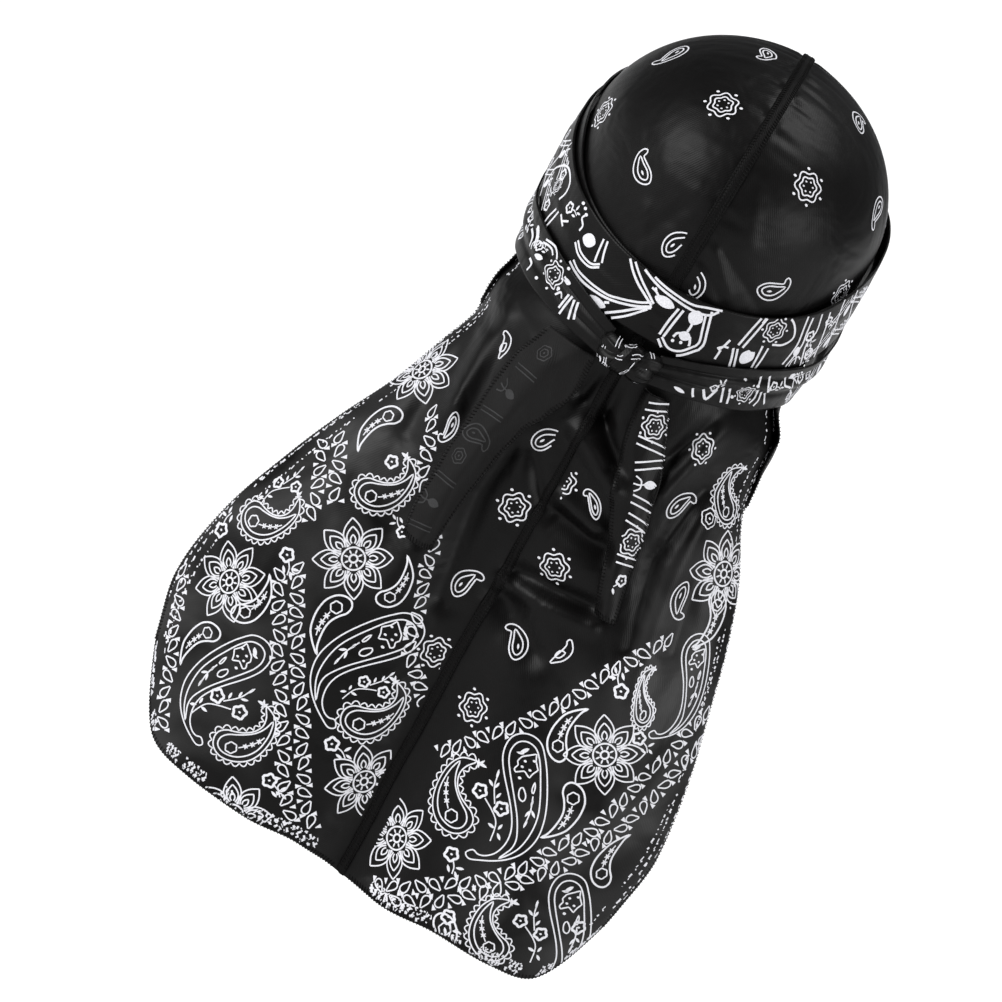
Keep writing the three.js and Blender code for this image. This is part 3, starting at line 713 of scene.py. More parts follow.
def even(fine, closed=False, step=1.0):
    """The same line with points about a step apart."""
    length = walked(fine)
    count = max(int(round(length[-1] / step)), 3)
    at = np.linspace(0, length[-1], count + 1)
    out = at_lengths(fine, length, at)
    return out[:-1] if closed else out


def stroke(points, width=LINE, closed=False, curved=True, step=1.0):
    """A printed line: points, width at each and whether it closes."""
    p = np.array(points, float)
    if closed and not curved:
        p = np.vstack([p, p[:1]])
    line = smooth_line(p, closed, step) if curved else even(p, closed, step)
    return line, np.full(len(line), float(width)), closed


def blob(x, y, length, width, angle=0.0):
    """A filled leaf shape: a short line whose width is width * sin(pi t)^0.6."""
    t = np.linspace(0, 1, max(5, int(length / 0.8)))
    turn = math.radians(angle)
    along = (t - 0.5) * length
    line = np.stack([x + along * math.cos(turn), y - along * math.sin(turn)], 1)
    return line, np.maximum(width * np.sin(math.pi * t) ** 0.6, 0.12 * width), False


def dot(x, y, radius):
    """A filled round dot."""
    t = np.linspace(-0.94, 0.94, 6)
    line = np.stack([x + t * radius, np.full(6, float(y))], 1)
    return line, 2 * radius * np.sqrt(1 - t**2), False


def wedge(x, y, size, angle):
    """A filled triangle that points along the angle."""
    t = np.array([-0.45, 0.5])
    turn = math.radians(angle)
    line = np.stack([x + t * size * math.cos(turn), y - t * size * math.sin(turn)], 1)
    return line, np.array([size, 0.12 * size]), False


def polar(radius, angle):
    """Chart-like point at an angle, counted anticlockwise, with y down."""
    return radius * np.cos(angle), -radius * np.sin(angle)


def teardrop():
    """Small drop with a hooked tip, two outlines and a seed."""
    outer = [(5.3, -6.4), (7.6, -6.6), (8.8, -7.7), (7.8, -9.4), (5.8, -10.2), (2.8, -10.0), (-0.9, -8.0),
             (-3.9, -4.9), (-5.2, -1.2), (-4.9, 2.6), (-3.0, 6.0), (-0.3, 7.6), (2.2, 6.2), (4.0, 2.9),
             (4.6, -1.4), (4.9, -4.6)]
    inner = [(3.5, -8.0), (0.2, -5.3), (-2.0, -2.5), (-2.7, 0.4), (-2.4, 2.9), (-0.6, 5.0), (1.3, 4.0),
             (2.6, 1.0), (3.0, -3.2)]
    return [stroke(outer, LINE, True), stroke(inner, LINE, True), blob(-0.3, 0.4, 3.0, 1.6, 80)]


def star_flower():
    """Two waved outlines, r = 7.5 + 0.85 cos 6(a - 0.52) and r = 4.9 + 0.5 cos 6(a - 0.52), and two
    rings of dots."""
    a = np.linspace(0, 2 * math.pi, 49)[:-1]
    rings = [(np.stack(polar(r + w * np.cos(6 * (a - 0.52)), a), 1), np.full(48, LINE), True)
             for r, w in ((7.5, 0.85), (4.9, 0.5))]
    b = np.arange(6) * math.pi / 3
    return rings + [dot(*polar(2.9, k + 0.5), 0.6) for k in b] + [dot(*polar(9.6, k), 0.95) for k in b]


def big_flower(petals=8):
    """A rayed middle and pointed petals, each of three nested outlines."""
    turn = np.arange(petals) * 2 * math.pi / petals + 0.15
    a = np.linspace(0, 2 * math.pi, 33)[:-1]
    made = [(np.stack(polar(2.1, a), 1), np.full(32, 1.4), True),
            (np.stack(polar(6.1, a), 1), np.full(32, 1.3), True)]
    made += [blob(*polar(3.9, k), 2.6, 1.3, math.degrees(k)) for k in turn]
    for k in turn + math.pi / petals:
        for reach, half, foot in ((21.5, 5.0, 6.6), (17.0, 3.3, 7.4), (12.8, 1.4, 8.2)):
            r = foot + (reach - foot) * np.array([0, 0.2, 0.45, 0.7, 0.88, 1])
            h = half * np.array([0.45, 0.85, 1.0, 0.75, 0.35, 0.0])
            r, h = np.concatenate([r, r[-2::-1]]), np.concatenate([h, -h[-2::-1]])
            x, y = r * math.cos(k) - h * math.sin(k), r * math.sin(k) + h * math.cos(k)
            sides = [np.stack([x, -y], 1)[:6], np.stack([x, -y], 1)[5:]]
            made += [stroke(part, LINE, False) for part in sides]
    return made


def fishbone(points, leaf=2.6):
    """A stem with pairs of small leaves."""
    p = np.array(points, float)
    made = [stroke(p, 0.9)]
    for x, y in p[1:-1]:
        heading = math.degrees(math.atan2(-(p[-1, 1] - p[0, 1]), p[-1, 0] - p[0, 0]))
        made += [blob(x, y, leaf * 1.7, 1.5, heading + 90 + k) for k in (35, -35)]
    return made


def ring(x, y, radius, width=LINE, wave=0.07, lobes=6):
    """A closed line r = radius (1 + wave cos(lobes a))."""
    a = np.linspace(0, 2 * math.pi, 25)[:-1]
    px, py = polar(radius * (1 + wave * np.cos(lobes * a)), a)
    return np.stack([x + px, y + py], 1), np.full(24, width), True


def long_drop():
    """Long drop with a hooked foot, a ring and a leafy stem."""
    outer = [(-4.1, 19.0), (-2.2, 15.9), (-1.0, 11), (-0.5, 4.8), (-1.4, 0), (-3.8, -4.3), (-6.5, -7.7),
             (-7.2, -11.5), (-5.3, -14.4), (-1.4, -14.9), (2.9, -13), (6.2, -8.7), (7.4, -3.8), (7.4, 1.9),
             (5.8, 8.7), (2.9, 13), (-1, 16.8)]
    return ([stroke(outer, 1.4, True), ring(-0.2, -7.5, 3.1)]
            + fishbone([(1.4, -3.8), (1.9, -1), (2.3, 2.9), (2.2, 7), (1.4, 10.6)], 2.2))


def small_bloom(x, y, size=4.2):
    """Five-lobed flower with a hole and a seed."""
    return [ring(x, y, size * 0.8, 1.9, 0.13, 5), dot(x, y, 0.75)]


def leafy_bloom():
    """A bloom with a short stem and three leaves."""
    return small_bloom(0, 0) + [stroke([(2.6, 2.6), (4.6, 5.4), (5.4, 9.0)], 0.95),
                                blob(7.6, 4.4, 4.4, 2.2, 20), blob(2.4, 7.4, 4.2, 2.1, -50),
                                blob(7.4, 8.6, 4.0, 2.0, -50)]


def crescent():
    """One side of a drop, where the rest lies in a fold."""
    outer = [(-0.8, -4.6), (-1.5, -7.7), (0, -9.3), (3.1, -5.7), (3.6, -2.1), (2.1, 2.1), (-0.5, 4.9),
             (-3.6, 6.7)]
    inner = [(-2.1, -1.3), (0.8, -1.8), (-0.5, 2.1), (-3.1, 2.6)]
    return [stroke(outer, LINE, True), stroke(inner, LINE, True)]


def sprig():
    """Two blooms on a curved stem with leaves, and a leafy shoot."""
    return (small_bloom(-10, -3) + small_bloom(4.3, -0.5)
            + [stroke([(-5.8, -1), (0, 2.4), (4.8, 6.3), (6.7, 10.6), (7.9, 17.3)], 0.95),
               stroke([(0, -1), (-4.8, -9.1), (-6.5, -16.8)], 0.95),
               blob(4.3, 10, 4.3, 2.2, -10), blob(8.7, 8.2, 3.6, 2.0, 80), blob(10.6, 13, 4, 2.2, -40),
               blob(-7.2, -9.6, 4.2, 2.0, -30), blob(-3.8, -10.1, 3.6, 1.9, 80),
               blob(-0.5, -5.8, 3.8, 2.0, 75), blob(-6.5, -15.4, 5, 1.8, -75)])


def big_paisley():
    """Large paisley: two outlines, a star and a leafy sprig inside, a hooked tail."""
    outer = [(0, 57.7), (2.4, 54.6), (5.8, 55.3), (9.6, 53.8), (13, 50), (14.7, 44.7), (14.7, 39.4),
             (13, 34.1),
             (9.1, 27.9), (3.8, 21.6), (-1.9, 15.4), (-6.3, 10.1), (-9.6, 4.8), (-11, -1), (-10.1, -6.3),
             (-6.3, -10.1), (-1, -11.3), (4.3, -9.9), (8.7, -5.8), (13.5, 0), (18.3, 7.2), (22.6, 14.9),
             (25.5, 22.1), (27.2, 29.8), (26.9, 36.5), (24.5, 43.3), (20.2, 49), (14.4, 53.8), (7.7, 57.7),
             (2.9, 59.6)]
    inner = [(15.9, 51.4), (19.7, 46.2), (22.1, 40.9), (23.1, 34.6), (22.8, 27.4), (21.2, 20.7),
             (17.8, 13.5),
             (13.5, 6.3), (9.1, -0.5), (4.8, -5.3), (1, -7.2), (-3.4, -7), (-6.7, -4.3), (-7.5, 0.5),
             (-5.8, 5.3), (-2.4, 10.1), (2.4, 15.9), (7.2, 21.6), (12, 27.4), (15.9, 33.2), (18.5, 38.5),
             (18.8, 43.3), (17.3, 47.6)]
    star = [(1.9, -1.9), (4.8, -4.3), (6.3, -1), (9.6, 2.4), (8.2, 5.3), (7.7, 8.2), (3.8, 6.3), (0, 9.1),
            (-1.4, 7.7), (-0.5, 5.3), (-1.9, 3.4), (-1, 0.5)]
    return [stroke(outer, LINE, True), stroke(inner, LINE, True),
            stroke(star, LINE, True, False), blob(-1.4, -2.6, 5.2, 3.0, 55), blob(-2.6, -0.6, 4.0, 1.8, 15),
            dot(1.6, 1.8, 0.85), dot(5.5, -0.5, 0.85), dot(1.7, 5, 0.85), dot(6, 4.6, 0.85),
            dot(3.5, 10.6, 1.0),
            stroke([(7.5, 14), (11, 17), (11.2, 20), (8.5, 19.5), (6.6, 16)], LINE, True),
            stroke([(11.4, 8.5), (13, 11), (13.6, 14), (12, 12.5)], 1.0, True),
            stroke([(14.2, 15), (17, 22), (18.2, 30)], 1.0), blob(15.6, 18.2, 3.4, 1.7, -80),
            blob(19, 22.6, 4.2, 2.0, -35), blob(16.4, 24, 4.2, 1.8, -100), blob(18.2, 29, 4.6, 1.8, -85)]


def scalloped():
    """Comma with two outlines, a scalloped edge |sin|, a ring and a leafy stem."""
    outer = smooth_line([(-0.7, -18.7), (-3.8, -13.9), (-4.8, -9.1), (-2.9, -4.3), (1, -0.7), (5.3, 1.4),
                         (9.6, 3.1), (12.5, 6.3), (12.7, 10.6), (10.1, 14.9), (5.3, 17.1), (0, 16.8),
                         (-5.3, 14.2), (-9.6, 9.6), (-12, 3.4), (-12.7, -3.8), (-11.5, -10.6),
                         (-7.7, -16.3)], True, 0.55)
    inner = [(-7.9, -14.2), (-6.7, -9.1), (-4.3, -4.3), (-0.5, -0.5), (3.8, 2.4), (7.7, 4.8), (9.9, 8.2),
             (9.4, 12), (6.3, 14.2), (1.9, 14.4), (-2.9, 12.6), (-7, 8.5), (-9.7, 2.9), (-10.4, -3.4),
             (-9.8, -9.2)]
    lead = np.roll(outer, -1, 0) - np.roll(outer, 1, 0)
    aside = unit(np.stack([-lead[:, 1], lead[:, 0]], 1))
    if (aside * (outer - outer.mean(0))).sum() < 0:
        aside = -aside
    run = np.arange(len(outer)) * 0.55
    lobes = round(run[-1] / 4.1)
    hump = 0.4 + 2.2 * np.abs(np.sin(math.pi * lobes * run / run[-1])) ** 0.8
    return [(outer[::2], np.full(len(outer[::2]), LINE), True), stroke(inner, LINE, True),
            (outer + aside * hump[:, None], np.full(len(outer), 0.95), True), ring(2.4, 10, 3.0),
            *fishbone([(-0.8, 7.9), (-3.4, 5.2), (-5.8, 2.2), (-7.8, -1.2), (-9, -4.6)], 1.9),
            blob(2, -18.9, 6, 2.4, 0), blob(1.4, -18.9, 5.4, 2.0, 65), blob(0.6, -18.6, 4.4, 1.8, -60)]


MOTIFS = {"drop": teardrop, "star": star_flower, "flower": big_flower, "long_drop": long_drop,
          "paisley": big_paisley, "scalloped": scalloped, "sprig": sprig,
          "bloom": lambda: small_bloom(0, 0), "leafy": leafy_bloom, "crescent": crescent,
          "bars": lambda: [stroke([(-1.8, -13), (-2.2, 0), (-1.8, 13)], 1.3),
                           stroke([(2.2, -13), (1.8, 0), (2.2, 13)], 1.3)],
          "arch": lambda: [stroke([(-12, 8), (-8, -3), (0, -7.5), (8, -3), (12, 8)], 1.3),
                           stroke([(-8.5, 8), (-5.5, 0), (0, -3.8), (5.5, 0), (8.5, 8)], 1.2),
                           blob(0, 3.5, 8, 6.5, 90)],
          "bud": lambda: [blob(0, -2, 9, 7.5, 90), stroke([(0, 2), (0.6, 6), (0, 10)], 1.3),
                          stroke([(-5, 9), (-2.5, 5), (0.4, 4.5)], 1.3),
                          stroke([(5, 9), (3, 5), (0.4, 4.5)], 1.3)],
          "ring": lambda: [ring(0, 0, 5.2, 0.9), ring(0, 0, 2.8, 0.9), dot(0, 0, 0.8)]}

# Motifs by chart place: kind, e, d, turn anticlockwise in degrees, size, mirrored
PANEL_PRINT = {
    "left_panel": [
        ("drop", -38, -137, 205, 0.9, 0), ("drop", -117, -91, 165, 1.15, 0), ("drop", -84, 31, 72, 1, 0),
        ("drop", -20, 78, -10, 1, 0), ("star", -50, -68, 10, 1, 0), ("star", -149, -2, 0, 1, 0),
        ("drop", -31, 311, -20, 1, 0), ("star", -21, 383, 8, 1, 0), ("drop", -27, 476, 0, 1, 0),
        ("star", -14, 548, 15, 1, 0), ("drop", -117, 345, -166, (0.6, 1), 0),
        ("crescent", -112, 250, 30, 0.9, 0),
        ("flower", -172, 312, 0, 0.95, 0),
        ("long_drop", -181, 382, -20, 0.9, 1), ("scalloped", -143, 430, -9, 0.95, 1),
        ("bloom", -150, 407, 0, 0.9, 0), ("flower", -133, 510, 0, 1, 0), ("leafy", -105, 462, 200, 0.8, 0),
        ("long_drop", -81, 512, 180, 0.9, 1), ("long_drop", -123, 575, 0, 1, 1),
        ("scalloped", -227, 516, -32, 1, 1), ("sprig", -232, 484, 0, 0.8, 1), ("leafy", -192, 541, 0, 1, 0),
        ("leafy", -262, 554, 150, 1, 0), ("flower", -228, 594, 10, 1, 0),
        ("paisley", -54, 550, -4, 1.05, 1),
        ("long_drop", -196, 600, 170, 0.9, 1), ("scalloped", -36, 631, -7, 1.03, 1),
        ("sprig", -54, 612, -10, 0.8, 1), ("leafy", -56, 681, 40, 1, 0), ("flower", -9, 697, 5, 1, 0),
        ("paisley", -172, 646, 2, 0.95, 1), ("scalloped", -135, 718, -4, 1, 1),
        ("sprig", -172, 702, -14, 1, 1), ("leafy", -91, 745, 30, 1, 0), ("flower", -105, 791, 0, 0.95, 0),
        ("long_drop", -224, 660, -16, 0.9, 1),
    ],
    "right_panel": [
        ("drop", 76, -125, 30, 1, 0), ("drop", 137, -62, 172, 1.05, 1), ("drop", 86, 67, -80, 1, 1),
        ("drop", 19, 102, 10, 1, 1), ("star", 65, -41, 0, 1, 0), ("star", 149, 32, 0, 1, 0),
        ("drop", 47, 341, 36, (0.6, 0.9), 1), ("star", 44, 414, 5, 1, 0),
        ("star", 110, 236, 30, (0.75, 1), 0),
        ("star", 47, 576, 0, 1, 0), ("drop", 53, 500, 15, 1, 1), ("drop", 118, 298, -10, 1, 0),
        ("crescent", 96, 485, 0, 1, 0), ("ring", 152, 292, 0, 1, 0), ("drop", 167, 374, 187, 1.1, 1),
        ("star", 6, 336, 0, 0.9, 0), ("scalloped", 158, 262, 10, 0.85, 0), ("flower", 193, 332, 0, 1.05, 0),
        ("long_drop", 206, 376, 10, 0.95, 0), ("paisley", 210, 413, 0, (0.7, 0.85), 0),
        ("scalloped", 190, 480, 20, (0.5, 0.85), 0), ("leafy", 165, 486, 185, 1, 0),
        ("leafy", 205, 517, 30, 0.9, 0),
        ("flower", 184, 549, 0, 1, 0), ("scalloped", 79, 660, 0, 1.1, 0), ("paisley", 116, 592, 0, 1.03, 0),
        ("sprig", 115, 650, 0, 1, 0), ("long_drop", 180, 617, 0, 1, 0),
        ("long_drop", 139, 552, 180, 0.95, 0),
        ("leafy", 104, 714, 0, 1, 0), ("flower", 49, 729, 0, 1, 0), ("paisley", 226, 688, 0, 1, 0),
        ("long_drop", 243, 640, 180, 0.95, 0),
        ("scalloped", 180, 758, 0, 1, 0), ("sprig", 215, 739, 0, 0.95, 0), ("leafy", 134, 770, 0, 1, 0),
        ("long_drop", 140, 797, 10, 1, 0), ("bloom", 252, 712, 0, 1, 0),
    ],
}

# Motifs on the front half of the crown: kind, crown row and column from 0 to 1, turn
FRONT_PRINT = [
    ("drop", 0.09, 0.20, 20), ("star", 0.12, 0.46, 0), ("drop", 0.17, 0.70, 200), ("star", 0.27, 0.24, 20),
    ("drop", 0.33, 0.50, 110), ("star", 0.30, 0.84, 0), ("drop", 0.07, 0.84, 60),
]

# Leaf borders by chart places along their middle; the last number says which way the leaves lean
PANEL_BORDERS = {
    "left_panel": [
        (((-144, 336), (-128, 372), (-112, 409), (-92, 432), (-72, 455), (-66, 479), (-58, 498), (-36, 562),
          (-10, 585), (7, 606)), 1),
        (((-211, 407), (-197, 433), (-186, 458), (-172, 477)), 1),
        (((-179, 539), (-168, 563), (-152, 589), (-135, 618), (-116, 645), (-96, 672), (-79, 700),
          (-61, 728),
          (-42, 752), (-22, 770)), 1),
        (((-223, 422), (-209, 448), (-197, 480), (-185, 511)), -1),
        (((-193, 555), (-176, 584), (-159, 613), (-142, 642), (-123, 669), (-104, 697), (-87, 724),
          (-68, 752), (-50, 770)), -1),
        (((-278, 602), (-263, 636), (-250, 668), (-236, 698), (-224, 730), (-209, 759)), 1),
    ],
    "right_panel": [
        (((183, 411), (166, 442), (149, 469), (131, 508), (107, 551), (81, 585), (61, 608), (40, 635)), -1),
        (((252, 455), (243, 494), (238, 522), (231, 543), (219, 599), (210, 627), (192, 652), (179, 679),
          (156, 710), (131, 731), (105, 750), (69, 774), (44, 784)), -1),
        (((264, 480), (256, 520), (245, 575), (234, 610), (222, 632), (207, 662), (187, 691), (165, 717),
          (138, 743), (114, 764), (76, 785), (56, 794)), 1),
    ],
}


# Print of the ties by chart place. Lines: points, width in mm and whether closed. Then filled blobs:
# e, d, width and height. Then dots. Then motifs: kind, e, d, turn and size.
TIE_PRINT = {
    "first": (
        [
         (((143, 59), (147, 77), (145, 93), (151, 115)), 1.1, 0),
         (((149, 53), (154, 73), (157, 91), (161, 114)), 1.1, 0),
         (((154, 27), (157, 45), (161, 63), (164, 86)), 1.1, 0),
         (((161, 18), (165, 36), (170, 53), (174, 86)), 1.1, 0),
         (((-172, 34), (-170, 52), (-172, 75), (-167, 99), (-162, 125)), 1.1, 0),
         (((-166, 40), (-164, 56), (-166, 76), (-161, 98), (-156, 118)), 1.1, 0),
         (((-162, 84), (-160.5, 69.5), (-151, 63.5), (-141.5, 74.5), (-139, 86.5), (-141.5, 96)), 1.2, 0),
         (((-110, 96), (-112, 101), (-107.5, 107), (-108, 113)), 1.1, 0),
         (((-82.5, 108), (-81, 120), (-79, 132)), 1.2, 0),
         (((-78, 108), (-75.5, 119), (-72, 129.5)), 1.2, 0),
         (((-105.5, 125), (-96, 134.5), (-81.5, 139), (-72, 134.5)), 1.2, 0),
         (((-104, 122), (-95, 131), (-81.5, 135.5), (-73, 131.5)), 1.1, 0),
         (((-139, 105.5), (-141.5, 115), (-142.5, 125)), 1.2, 0),
         (((-135.5, 107), (-137, 116.5), (-139, 126)), 1.2, 0),
         (((-132, 108), (-128, 113.5), (-124.5, 117.5)), 1.2, 0),
         (((-128, 113.5), (-122, 110.5)), 1.2, 0),
         (((-50, 111.5), (-41.5, 120.5), (-31, 128.5), (-19, 135), (-8, 140.5)), 1.3, 0),
         (((-44, 111.5), (-35.5, 119), (-26, 126), (-16.5, 132), (-7, 138)), 1.2, 0),
         (((-36, 111.5), (-21.5, 117.5), (-9.5, 121), (5, 123), (22, 124), (36, 123), (47, 119),
          (53, 111.5)), 1.3, 0),
         (((-31, 111), (-12, 116.5), (7.5, 119), (26.5, 119), (41, 114), (55.5, 109)), 1.2, 0),
         (((-16.5, 125), (-12, 126), (-7, 128.5)), 1.2, 0), (((-13.5, 123), (-11, 126)), 1.1, 0),
         (((17, 129.5), (14.5, 145), (13.5, 161)), 1.3, 0), (((22, 128.5), (20, 143), (18, 161)), 1.3, 0),
         (((14.5, 165.5), (26.5, 173), (41, 169), (55.5, 153.5)), 1.3, 0),
         (((17, 162), (28, 168), (40, 164.5), (51, 151.5)), 1.2, 0),
         (((47, 115), (53, 134.5), (56.5, 146.5), (55, 154)), 1.3, 0),
         (((43, 120), (48, 135.5), (51.5, 146.5), (50.5, 152)), 1.2, 0),
         (((36, 134.5), (36.5, 139), (36, 144.5)), 1.3, 0),
         (((26.5, 156), (28, 151), (31.5, 149)), 1.3, 0), (((41, 147.5), (44, 153), (44.5, 156)), 1.3, 0),
         (((21, 177.5), (23.5, 174), (29, 174), (32.5, 177), (30.5, 181.5), (24.5, 182.5),
          (21, 177.5)), 1.1, 1),
         (((24, 177.5), (26.5, 176), (29, 178)), 1.1, 0),
         (((-100.5, 144), (-91, 150), (-79, 155), (-64.5, 157), (-50, 157), (-37, 154.5), (-26, 151),
          (-16.5, 147), (-7, 141.5)), 1.3, 0),
         (((-98, 141), (-88.5, 147.5), (-76.5, 151), (-64.5, 153), (-50, 153.5), (-38, 150.5),
          (-28.5, 147.5), (-18.5, 143.5), (-9.5, 138)), 1.2, 0),
         (((-44, 170.5), (-31, 161), (-19, 151), (-7, 143)), 1.3, 0),
         (((-37, 172.5), (-24, 162), (-9.5, 146)), 1.2, 0),
         (((-96, 158.5), (-87.5, 160), (-79, 163)), 1.2, 0), (((-66, 173), (-62, 168)), 1.3, 0),
         (((-50, 162), (-45.5, 159.5)), 1.3, 0), (((94, 89), (90, 109), (86.5, 129.5)), 1.3, 0),
         (((98.5, 89), (95, 110.5), (91.5, 129.5)), 1.3, 0),
         (((96, 98.5), (98.5, 86.5), (108, 79), (122.5, 81.5), (130, 93.5), (125, 105.5),
          (115.5, 111.5)), 1.2, 0),
         (((108, 117.5), (109, 129.5), (109.5, 141.5)), 1.3, 0),
         (((114, 116.5), (114, 129.5), (113, 141.5)), 1.2, 0),
         (((77, 129.5), (75, 137), (72, 144)), 1.3, 0), (((79.5, 137), (75, 138)), 1.2, 0),
         (((75, 138), (70, 143)), 1.2, 0), (((74, 143), (73.5, 153.5)), 1.2, 0),
         (((84, 134.5), (87.5, 144), (90, 153.5)), 1.3, 0),
         (((88, 133), (91.5, 143), (94.5, 152.5)), 1.2, 0),
         (((132, 67), (134.5, 81.5), (137, 96), (136.5, 109), (134.5, 122.5)), 1.2, 0),
         (((137, 67), (139, 81.5), (141.5, 96), (140.5, 109), (138.5, 122.5)), 1.2, 0)],
        [(-94.5, 116.5, 14, 14), (1.5, 131, 22, 11), (36, 128.5, 15, 16), (36, 149.5, 12, 11),
         (-57.5, 165.5, 22, 10), (-79, 167, 10, 6), (100, 134.5, 12, 19)],
        [(-118.5, 87.5), (-114, 91), (-110, 96), (28, 159.5), (36, 157)],
        [("star", -150, 84, 0, (0.45, 0.6)), ("star", 110.5, 98, 10, 0.84), ("leafy", 144, 84, 20, 0.8),
         ("leafy", -128, 98, 60, 0.8), ("bud", 141, 106, 30, 0.8), ("leafy", 152, 100, -20, 0.8)],
    ),
    "left_second": (
        [
         (((-132, 137), (-125.5, 137.5), (-120, 139), (-115.5, 143.5), (-112.5, 149)), 1.2, 0),
         (((-133, 141), (-127, 141), (-121.5, 143), (-118, 147.5)), 1.2, 0),
         (((-84, 173), (-85, 181), (-86, 189.5)), 1.3, 0),
         (((-80, 173), (-81.5, 183.5), (-82.5, 194.5)), 1.3, 0),
         (((-76.5, 175), (-74.5, 185), (-72, 194.5)), 1.3, 0),
         (((-72, 175), (-70, 183.5), (-67, 192)), 1.3, 0),
         (((-146, 132), (-141.5, 139), (-139, 149)), 1.2, 0),
         (((-150, 134.5), (-145, 141.5), (-143, 151)), 1.2, 0),
         (((-96, 180), (-92, 175), (-88.5, 180)), 1.2, 0),
         (((-136.5, 161), (-132, 165.5), (-133, 173)), 1.2, 0)],
        [(-93.5, 163, 11, 7), (-129.5, 156, 9, 6)],
        [(-97.5, 151), (-120.5, 175), (-96, 173)],
        [("star", -108, 164, 15, 0.92), ("leafy", -134, 146, 40, 0.7), ("bud", -141, 137, 70, 0.8)],
    ),
    "right_second": (
        [
         (((96, 173), (98.5, 180), (101, 187)), 1.3, 0),
         (((102, 170.5), (105, 177.5), (107, 185)), 1.3, 0),
         (((70, 189.5), (72, 193.5), (74.5, 197)), 1.3, 0),
         (((130, 139), (133.5, 147.5), (137, 153.5)), 1.3, 0),
         (((122.5, 144), (124, 149), (125, 153.5)), 1.2, 0),
         (((134.5, 156), (137, 161), (139.5, 165.5)), 1.2, 0),
         (((79.5, 185), (86.5, 192), (91.5, 177.5)), 1.5, 0),
         (((144, 132), (148, 139), (154, 138), (158.5, 144)), 1.2, 0),
         (((126, 173), (128, 165.5), (127, 157)), 1.2, 0),
         (((131, 173), (132.5, 165.5), (131, 157)), 1.2, 0)],
        [(59, 198, 12, 4)],
        [(110.5, 155), (125, 154), (108, 176.5)],
        [("star", 116.5, 166, 5, 0.68), ("leafy", 88, 178, 100, 0.6), ("leafy", 139, 146, 60, 0.7),
         ("bud", 150, 128, 30, 0.8)],
    ),
}


def place_strokes(start, right, below, strokes, size=1.0, turn=0.0, mirror=False):
    """A motif's starting place and the way to each of its points: the point is sized, then turned, and
    the way is x right + y below. A size of two numbers squeezes the motif across or along."""
    c, s = math.cos(math.radians(turn)), math.sin(math.radians(turn))
    points = np.concatenate([p for p, _, _ in strokes])
    wide, high = size if isinstance(size, tuple) else (size, size)
    x, y = points[:, 0] * (-wide if mirror else wide), points[:, 1] * high
    x, y = x * c + y * s, y * c - x * s
    way = x[:, None] * right + y[:, None] * below
    return start + np.zeros((len(points), 1)), way


